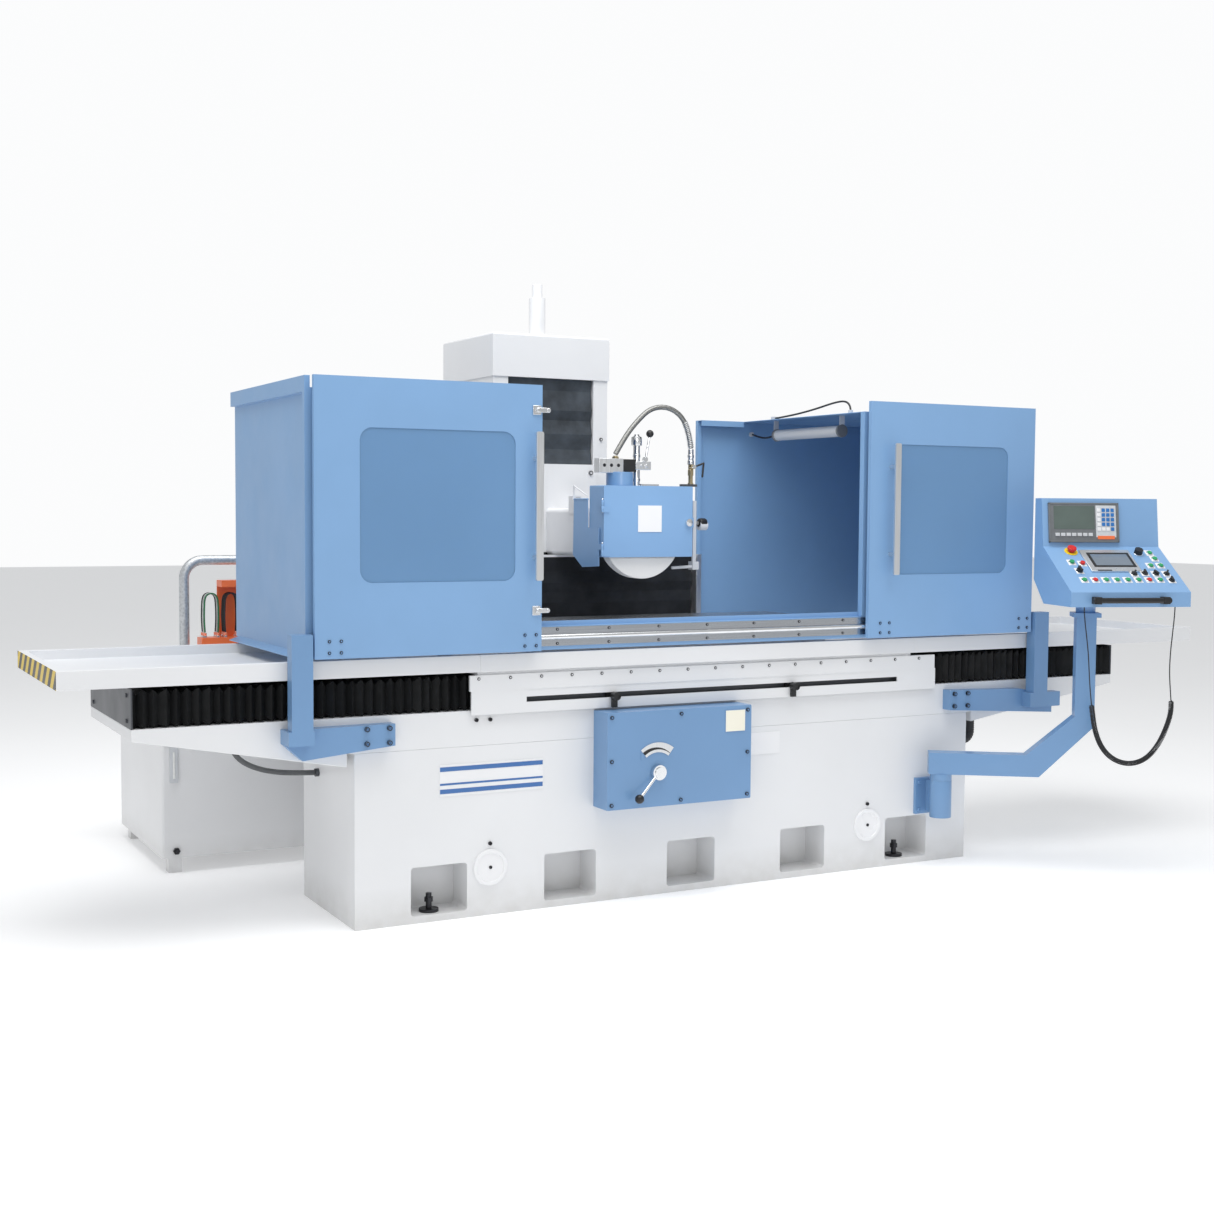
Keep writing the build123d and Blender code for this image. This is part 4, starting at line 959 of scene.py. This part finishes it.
def control_box_details():
    """Ball of the speed lever, its dial plate with a black wedge, and a blank label."""
    Piece().ball((-353, -168, 457), 39).done("speed_lever_ball", BLACK, "speed_lever", "black_plastic")
    dial = Piece(DIAL).polygon(sector(84, 126, 126), 0.2, 1.2)
    dial.done("speed_dial_plate", ALUMINIUM, "machine", "aluminium", 0.3)
    wedge = Piece(DIAL).polygon(sector(96, 98, 112), 1.2, 1.5)
    wedge.done("speed_wedge_mark", BLACK, "machine", "black_plastic")
    blank = Piece().box((93, 191), (DIAL_FACE - 1.4, DIAL_FACE), (708, 799))
    blank.done("blank_cover_label", CREAM, "machine", "plain_plate", 0.4)


# ---- doors ----
def rounded_outline(x, z, radius):
    """Rounded rectangle of (x, z) points."""
    steps = 8
    corners = ((x[1] - radius, z[1] - radius, 0), (x[0] + radius, z[1] - radius, 90),
               (x[0] + radius, z[0] + radius, 180), (x[1] - radius, z[0] + radius, 270))
    points = []
    for centre_x, centre_z, start in corners:
        for step in range(steps + 1):
            angle = math.radians(start + 90 * step / steps)
            points.append((centre_x + radius * math.cos(angle), centre_z + radius * math.sin(angle)))
    return points


def window_gasket(name, window, body):
    """Thin seal behind the rim of the window opening."""
    piece = Piece()
    outer = rounded_outline((window[0] - 1, window[1] + 1), (1371, 1967), 51)
    inner = rounded_outline((window[0] + 5, window[1] - 5), (1377, 1961), 45)
    rings = []
    for outline, y in ((outer, -92.8), (outer, -91.2), (inner, -91.2), (inner, -92.8)):
        rings.append([piece.mesh.verts.new((x, y, z)) for x, z in outline])
    for ring, following in zip(rings, rings[1:] + rings[:1]):
        piece.join_rings(ring, following, len(ring))
    piece.done(name, RUBBER, body, "hose_rubber")


def door_details():
    window_gasket("left_window_seal", (-1543, -892), "left_door")
    window_gasket("right_window_seal", (1007, 1678), "right_door")
    latches = Piece()
    for z in (2056, 1250):
        latches.box((-817.5, -781), (DOOR_FACE - 5.5, DOOR_FACE - 0.2), (z - 19, z + 19))
        latches.box((-805, -747), (DOOR_FACE - 15, DOOR_FACE - 4), (z - 9.5, z + 9.5))
        for x, diameter in ((-797, 15), (-752, 17)):
            latches.rod((x, DOOR_FACE - 4, z), (x, DOOR_FACE - 17, z), diameter)
    latches.done("left_door_latches", CHROME, "left_door", "chrome", 1.5)


# ---- console ----
E_STOP = (-60, 42)
START_BUTTON, STOP_BUTTON = (-92, 134), (-44, 143)
MODE_SELECTOR, FEED_KNOB = (-80, 201), (263, 57)
SELECTORS = [(175, 224), (228, 220), (280, 224), (332, 224), (335, 275)]
BUTTONS = [(-84 + 52 * step, 272) for step in range(8)] + [(319, 57), (325, 103), (282, 159), (331, 159)]
RED_BUTTONS = (1, 6)


def screen_unit():
    """Screen surround with its glass, soft keys, keypad and orange strip."""
    surround = Piece(screen(19, 110)).box((-170, 170), (-90, 90), (0.2, 11))
    for y in ((-92, -84), (84, 92)):
        surround.box((-172, 172), y, (0.2, 13))
    for x in ((-172, -164), (164, 172)):
        surround.box(x, (-92, 92), (0.2, 13))
    surround.done("screen_unit", GREY, "console", "black_plastic", 1.2, ("console_panels",))
    face = Piece(screen(-29, 133)).box((-100, 100), (-54, 54), (11, 11.8))
    face.done("screen_glass", LCD, "console", "black_plastic", 0.3)
    keys = Piece(screen(0, 55))
    for left in range(-124, 65, 27):
        keys.box((left, left + 21), (-8, 7), (11, 15.5))
    keys.done("screen_soft_keys", PALE, "console", "plain_plate", 1)
    panel = Piece(screen(130, 118)).box((-53, 46), (-76, 72), (11, 12.2))
    panel.done("keypad_membrane", PALE, "console", "plain_plate", 0.4)
    blue_keys = Piece(screen(92, 80))
    pale_keys = Piece(screen(92, 80))
    pitch, half = 22, 8
    for column, row in grid(range(4), range(5)):
        target = pale_keys if column == 0 or row == 0 and column < 3 else blue_keys
        x, y = column * pitch, row * pitch
        target.box((x - half, x + half), (y - half, y + half), (12.2, 15))
    blue_keys.done("keypad_blue_keys", KEY_BLUE, "console", "black_plastic", 0.8)
    pale_keys.done("keypad_pale_keys", PLATE_WHITE, "console", "plain_plate", 0.8)
    strip = Piece(screen(128, 42)).box((-44, 40), (-9, 7), (12.2, 13))
    strip.done("keypad_orange_strip", ORANGE, "console", "orange_paint", 0.3)


def touch_unit():
    """Touch panel on the desk, and the slot below it."""
    bezel = Piece(desk(98, 122)).box((-121, 121), (-85, 85), (0.2, 8))
    bezel.done("touch_panel_frame", ALUMINIUM, "console", "aluminium", 1.5)
    inner = Piece(desk(105, 119)).box((-103, 103), (-58, 58), (7, 8.6))
    inner.done("touch_panel_bezel", BLACK, "console", "black_plastic", 0.8)
    glass = Piece(desk(105, 119)).box((-89, 89), (-44, 44), (8.4, 9))
    glass.done("touch_panel_glass", TOUCH, "console", "black_plastic", 0.2)
    slot = Piece(desk(40, 203)).box((-34, 34), (-4, 4), (8, 9))
    slot.done("touch_panel_slot", BLACK, "console", "black_plastic", 0.3)


def buttons():
    rings = Piece(Matrix())
    groups = {"green": Piece(Matrix()), "red": Piece(Matrix())}
    for place in BUTTONS + [START_BUTTON, STOP_BUTTON]:
        ring_at(rings, desk(*place), 15.5, 11.7, 5.6)
    for number, place in enumerate(BUTTONS):
        colour = "red" if number in RED_BUTTONS else "green"
        cap_at(groups[colour], desk(*place), 11.2, 11)
    rings.done("button_rings", CHROME, "console", "chrome")
    groups["green"].done("green_buttons", GREEN, "console", "green_plastic")
    groups["red"].done("red_buttons", RED, "console", "red_plastic")


def spun_at(piece, plane, outline):
    """Lathe on a plane of the console, into a piece that is drawn in metres."""
    piece.lathe((0, 0, 0), UPWARDS, outline, 28, plane)


def ring_at(piece, plane, outer, inner, height):
    spun_at(piece, plane, [
        (0.2, outer), (height - 1, outer), (height, outer - 1), (height, inner), (0.2, inner)])


def cap_at(piece, plane, radius, height):
    spun_at(piece, plane, [(0.2, radius), (height - 2, radius), (height, radius - 2), (height - 0.4, 0)])


def selectors():
    """Ring, knob and turned handle of each selector, and the rings of the two larger ones."""
    rings = Piece(Matrix())
    knobs = Piece(Matrix())
    for number, place in enumerate(SELECTORS):
        plane = desk(*place)
        turn = Matrix.Rotation(math.radians(-35 + 30 * (number % 3)), 4, "Z")
        ring_at(rings, plane, 15.5, 10, 3)
        spun_at(knobs, plane, [(3, 14), (8, 13), (9, 12), (9, 0)])
        knobs.box((-4.4, 4.4), (-14.4, 14.4), (8, 18.5), plane @ turn)
    ring_at(rings, desk(*MODE_SELECTOR), 17.4, 15.2, 4)
    ring_at(rings, desk(*FEED_KNOB), 20.5, 19.4, 3.2)
    rings.done("selector_rings", CHROME, "console", "chrome")
    knobs.done("black_selectors", BLACK, "console", "black_plastic", 1)


def legends():
    """Blank legend plates behind the buttons, and the yellow disc under the emergency stop."""
    plates = Piece(Matrix())
    for place in BUTTONS + SELECTORS + [START_BUTTON, STOP_BUTTON, MODE_SELECTOR]:
        plates.box((-18, 18), (-18, 26), (0.15, 0.9), desk(*place))
    plates.done("legend_plates", PLATE_WHITE, "console", "plain_plate", 0.2)
    disc = Piece(Matrix())
    ring_at(disc, desk(*E_STOP), 31, 15.7, 3)
    disc.done("stop_button_disc", YELLOW, "console", "plain_plate")


def grab_bar():
    front = FOLD_Y - DESK_RUN
    bar = Piece(CONSOLE)
    outline = [(0, 0), (0, 11), (1, 12.6), (368, 12.6), (369, 11), (369, 0)]
    bar.lathe((-92, front - 34, 1272), TOWARDS_RIGHT, outline)
    for x in (-70, 254):
        bar.box((x - 14, x + 14), (front - 48, front - 0.3), (1256, 1288))
    bar.done("console_grab_bar", BLACK, "console", "black_plastic", 3)


def console_details():
    screen_unit()
    touch_unit()
    buttons()
    selectors()
    legends()
    grab_bar()


# ---- wheelhead details ----
def coolant_fittings():
    y = FITTINGS_Y
    manifold = Piece().box((-205, -80), (y - 26, y + 26), (1828, 1893))
    manifold.done("coolant_manifold", ALUMINIUM, "wheelhead", "aluminium", 1.5, ("coolant_fittings",))
    ports = Piece()
    for x in (-178, -142, -106):
        outline = [(0, 8), (1.2, 7.2), (1.2, 4.5), (0.2, 3), (0.2, 0)]
        ports.lathe((x, y - 26.5, 1862), TOWARDS_OPERATOR, outline, 24)
    ports.done("manifold_ports", SCREW, "wheelhead", "dark_steel")
    block = Piece().box((-79, -15), (y - 24, y + 24), (1834, 1891))
    block.done("valve_block", BLACK, "wheelhead", "black_plastic", 2)
    cylinder = Piece().rod((-82, y + 7, 1770), (-82, y + 7, 1832), 124, 64)
    cylinder.done("clamp_cylinder", DEEP_BLUE, "wheelhead", "control_blue", 1.5)
    socket = Piece().lathe((-108, y, 1892), UPWARDS, [
        (0, 17), (9, 17), (10, 16), (10, 12), (14, 12), (14, 0)], 6)
    socket.done("hose_socket", BRASS, "wheelhead", "brass", 0.8)
    valve_x = 292
    valve = Piece().lathe((valve_x, y, 1770), UPWARDS, [
        (9, 15), (18, 15), (18, 12), (52, 12), (52, 15), (78, 15), (80, 13), (104, 13), (104, 0)], 6)
    valve.rod((valve_x, y - 26, 1862), (valve_x, y, 1862), 22)
    valve.done("brass_valve", BRASS, "wheelhead", "brass", 0.6)
    ferrule = Piece().lathe((valve_x, y, 1874), UPWARDS, [
        (0, 15), (18, 15), (19, 13), (30, 13), (31, 15), (44, 15), (45, 13), (70, 13), (71, 12), (71, 0)], 32)
    ferrule.done("hose_ferrule", CHROME, "wheelhead", "chrome", 0.5)
    foot = Piece().box((240, 320), (y - 14, y + 14), (1770.5, 1782))
    foot.done("valve_foot", DARK, "wheelhead", "dark_steel", 1)


def dresser_details():
    """Turned steps of the dresser's head and the screw on top of it."""
    head = Piece().lathe((2, FITTINGS_Y, 1953), UPWARDS, [
        (0, 15.2), (2, 23), (4, 24), (38, 24), (42, 22.5), (43, 12), (48, 11.6), (53, 11), (53, 0)])
    for z in (1790, 1900):
        head.lathe((2, FITTINGS_Y, z), UPWARDS, [(0, 15.2), (1, 17), (14, 17), (15, 15.2)])
    head.done("dresser_head", CHROME, "wheelhead", "chrome", 0.4)
    clamp = Piece().box((-16, 63.5), (493, 545.5), (1844, 1882))
    clamp.rod((40, 496, 1863), (40, 486, 1863), 17)
    clamp.rod((12, 496, 1863), (12, 488, 1863), 12)
    clamp.done("dresser_clamp", ALUMINIUM, "wheelhead", "aluminium", 2)


def lever_balls():
    Piece().ball((50, 482, 2009), 34.8).done("dresser_lever_ball", BLACK, "dresser_lever", "black_plastic")
    pivot, bend, tip = (292, 489, 1862), (344, 489, 1880), (338, 489, 1818)
    lever = Piece().rod(pivot, bend, 9).rod(bend, tip, 9).ball(bend, 9).ball(tip, 9)
    lever.done("valve_lever_sleeve", RUBBER, "valve_lever", "black_plastic")


def guard_details():
    label = Piece().box((-27.4, 96.4), (447.6, 448.5), (1559.6, 1680.4))
    label.done("guard_blank_label", PLATE_WHITE, "guard_door", "plain_plate", 0.2)
    pins = Piece()
    for z in (1450, 1648):
        pins.rod((-212, 447, z - 1), (-212, 447, z + 59), 9)
        pins.ball((-212, 447, z + 59), 9)
    pins.done("guard_hinge_pins", CHROME, "guard_door", "chrome")
    nut = Piece().lathe((240, 450, 1603), TOWARDS_OPERATOR, [
        (0, 17.3), (14, 17.3), (14.4, 16), (14.4, 11.4), (20, 11.4), (20.6, 10), (20.6, 0)], 24)
    nut.done("guard_latch_nut", CHROME, "guard_door", "chrome")
    knob = Piece().lathe((322, FITTINGS_Y, 1600), TOWARDS_RIGHT, [
        (0, 9.4), (15, 9.4), (16, 20), (20, 23.4), (50, 23.4), (56, 19), (57, 0)], 10)
    knob.done("nozzle_clamp_knob", BLACK, "nozzle_bar", "black_plastic", 2)


# ---- hydraulic station and tank ----
def station_details():
    """Hexagon nuts at the ends of the six hoses."""
    sockets = Piece()
    outline = [(0, 8.8), (9, 8.8), (9, 7.8), (20, 7.8), (22.4, 7), (22.4, 0)]
    for x, y in grid((-1750, -1690, -1655, -1595), (1475, 1500, 1525)):
        sockets.lathe((x, y, 1055), UPWARDS, outline, 6)
    sockets.done("hose_end_nuts", CHROME, "machine", "chrome", 0.5)


def tank_fittings():
    gauge = Piece().box((-1956, -1920), (TANK_FACE - 14, TANK_FACE), (416, 576))
    gauge.done("level_gauge_body", SATIN, "machine", "black_plastic", 2, ("tank_fittings",))
    tube = Piece().rod((-1938, TANK_FACE - 13, 436), (-1938, TANK_FACE - 13, 556), 11)
    tube.done("level_gauge_glass", DIFFUSER, "machine", "plain_plate")
    plugs = Piece()
    plugs.lathe((-1966, TANK_FACE, 613), TOWARDS_OPERATOR, [(0, 13), (16, 13), (17, 11), (17, 0)], 8)
    plugs.lathe((-1928, TANK_FACE, 103), TOWARDS_OPERATOR, [(0, 16), (14, 16), (14, 9), (22, 9), (22, 0)], 6)
    plugs.done("tank_plugs", SCREW, "machine", "dark_steel", 0.6)
    lid = Piece().box((-1500, -900), (1500, 2100), (760, 772))
    lid.done("tank_lid", WHITE, "machine", "casting_white", 3)


def corrugated_conduit():
    """Black corrugated sleeve over the steel elbow at the right of the base."""
    bend_centre = Vector((1.552, -1.110, 0.605))
    bend_radius = 0.040
    points = [Vector((1.592, -1.110, 0.654))]
    for step in range(13):
        angle = math.radians(90 * step / 12)
        points.append(bend_centre + bend_radius * Vector((math.cos(angle), 0, -math.sin(angle))))
    points.append(Vector((1.549, -1.110, 0.565)))
    sleeve = ribbed_tube("corrugated_conduit", points, (0.0208, 0.0222, 0.0222, 0.0208), 0.0025, RUBBER)
    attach(sleeve, "machine")


def table_details():
    """Dark plate at the back of the dogs' slot, seen through the panel: painted shade inside the slot."""
    recess = Piece().box((-833, 1127), (10.5, 11.8), (859, 905))
    recess.done("dog_slot_shadow_plate", DARK, "table", "dark_steel")


def guide_bar():
    """Polished sleeve of the bar that the doors' rollers run on."""
    bar = Piece().rod((-1703, -62, 1138), (1824, -62, 1138), 20.8, 32)
    bar.done("door_guide_bar", CHROME, "machine", "chrome", 0.5)


def panel_edge_strip():
    """Bright angle on the edge of the right back panel, beside the curtain."""
    height = (1097, 1440)
    strip = Piece().box((615.5, 640), (986, 989), height).box((611.4, 614.6), (986, 1046), height)
    strip.done("back_panel_edge_strip", ALUMINIUM, "machine", "aluminium", 0.5)


def lamp_details():
    ends = Piece()
    outline = [(0, 0), (-0.5, 24), (0, 30.4), (13, 30.4), (14.4, 29), (14.4, 27)]
    for y, inward in ((225, TOWARDS_BACK), (775, TOWARDS_OPERATOR)):
        ends.lathe((945, y, 2038), inward, outline, 36)
    ends.done("lamp_end_caps", GREY, "machine", "black_plastic")


# ---- back of the machine ----
def rear_cover(name, body, x, y, z):
    """Cover plate on a face that looks to the back, with screws round its edge."""
    thickness, inset = 4, 20
    Piece().box(x, (y, y + thickness), z).done(name, WHITE, body, "casting_white", 1.2)
    middle = (sum(x) / 2, sum(z) / 2)
    heads = Piece()
    for spot in grid((x[0] + inset, middle[0], x[1] - inset), (z[0] + inset, middle[1], z[1] - inset)):
        if spot != middle:
            heads.socket_screw((spot[0], y + thickness, spot[1]), TOWARDS_BACK, 13, 5)
    heads.done(name + "_screws", SCREW, body, "dark_steel")


def louvres(name, body, x, y, z, count):
    """Pressed air slots: slanted blades one above the other."""
    pitch = 32
    tilt = Matrix.Rotation(math.radians(-24), 4, "X")
    blades = Piece()
    for step in range(count):
        blades.box(x, (-2, 4), (0, 20), Matrix.Translation((0, y, z + step * pitch)) @ tilt)
    blades.done(name, WHITE, body, "casting_white", 0.8)


def enclosure_backs():
    """Stiffening channels and rim screws on the backs of the guard boxes."""
    back = 1013
    ribs = Piece()
    for x in (-1480, -1210, -940, 760, 1120, 1480):
        ribs.box((x, x + 36), (back, back + 8), (1140, 2070))
    rims = Piece()
    for x, z in grid([*range(-1700, -870, 166), *range(650, 1800, 166)], (1112, 2092)):
        rims.socket_screw((x, back, z), TOWARDS_BACK, 11, 4)
    ribs.done("guard_back_ribs", BLUE, "machine", "enclosure_blue", 1.5)
    rims.done("guard_back_screws", SCREW, "machine", "dark_steel")


def tank_handles():
    """Two lifting handles on the tank's lid."""
    handles = Piece()
    for y in (1580, 2020):
        for x in (-1270, -1130):
            handles.rod((x, y, 771), (x, y, 806), 14)
        handles.rod((-1277, y, 806), (-1123, y, 806), 14)
    handles.done("tank_lid_handles", CHROME, "machine", "chrome", 0.8)


def back_details():
    rear_cover("column_back_cover", "column", (-390, 134), 1770, (1210, 2250))
    louvres("column_back_louvres", "column", (-270, 14), 1774, 1840, 9)
    rear_cover("foot_back_cover", "machine", (-420, 170), 2300, (230, 640))
    rear_cover("slide_back_cover", "column", (-480, 224), 1950, (780, 1090))
    enclosure_backs()
    tank_handles()


# ---- the whole scene ----
camera()
studio()
floor()
lamp_cables()
hydraulic_hoses()
bed_hose()
hose_spring(coolant_hose())
curly_cord()
materials_of_the_frame()
all_bellows()
all_screws()
base_plates()
control_box_details()
door_details()
console_details()
coolant_fittings()
dresser_details()
lever_balls()
guard_details()
station_details()
tank_fittings()
corrugated_conduit()
lamp_details()
table_details()
panel_edge_strip()
guide_bar()
back_details()
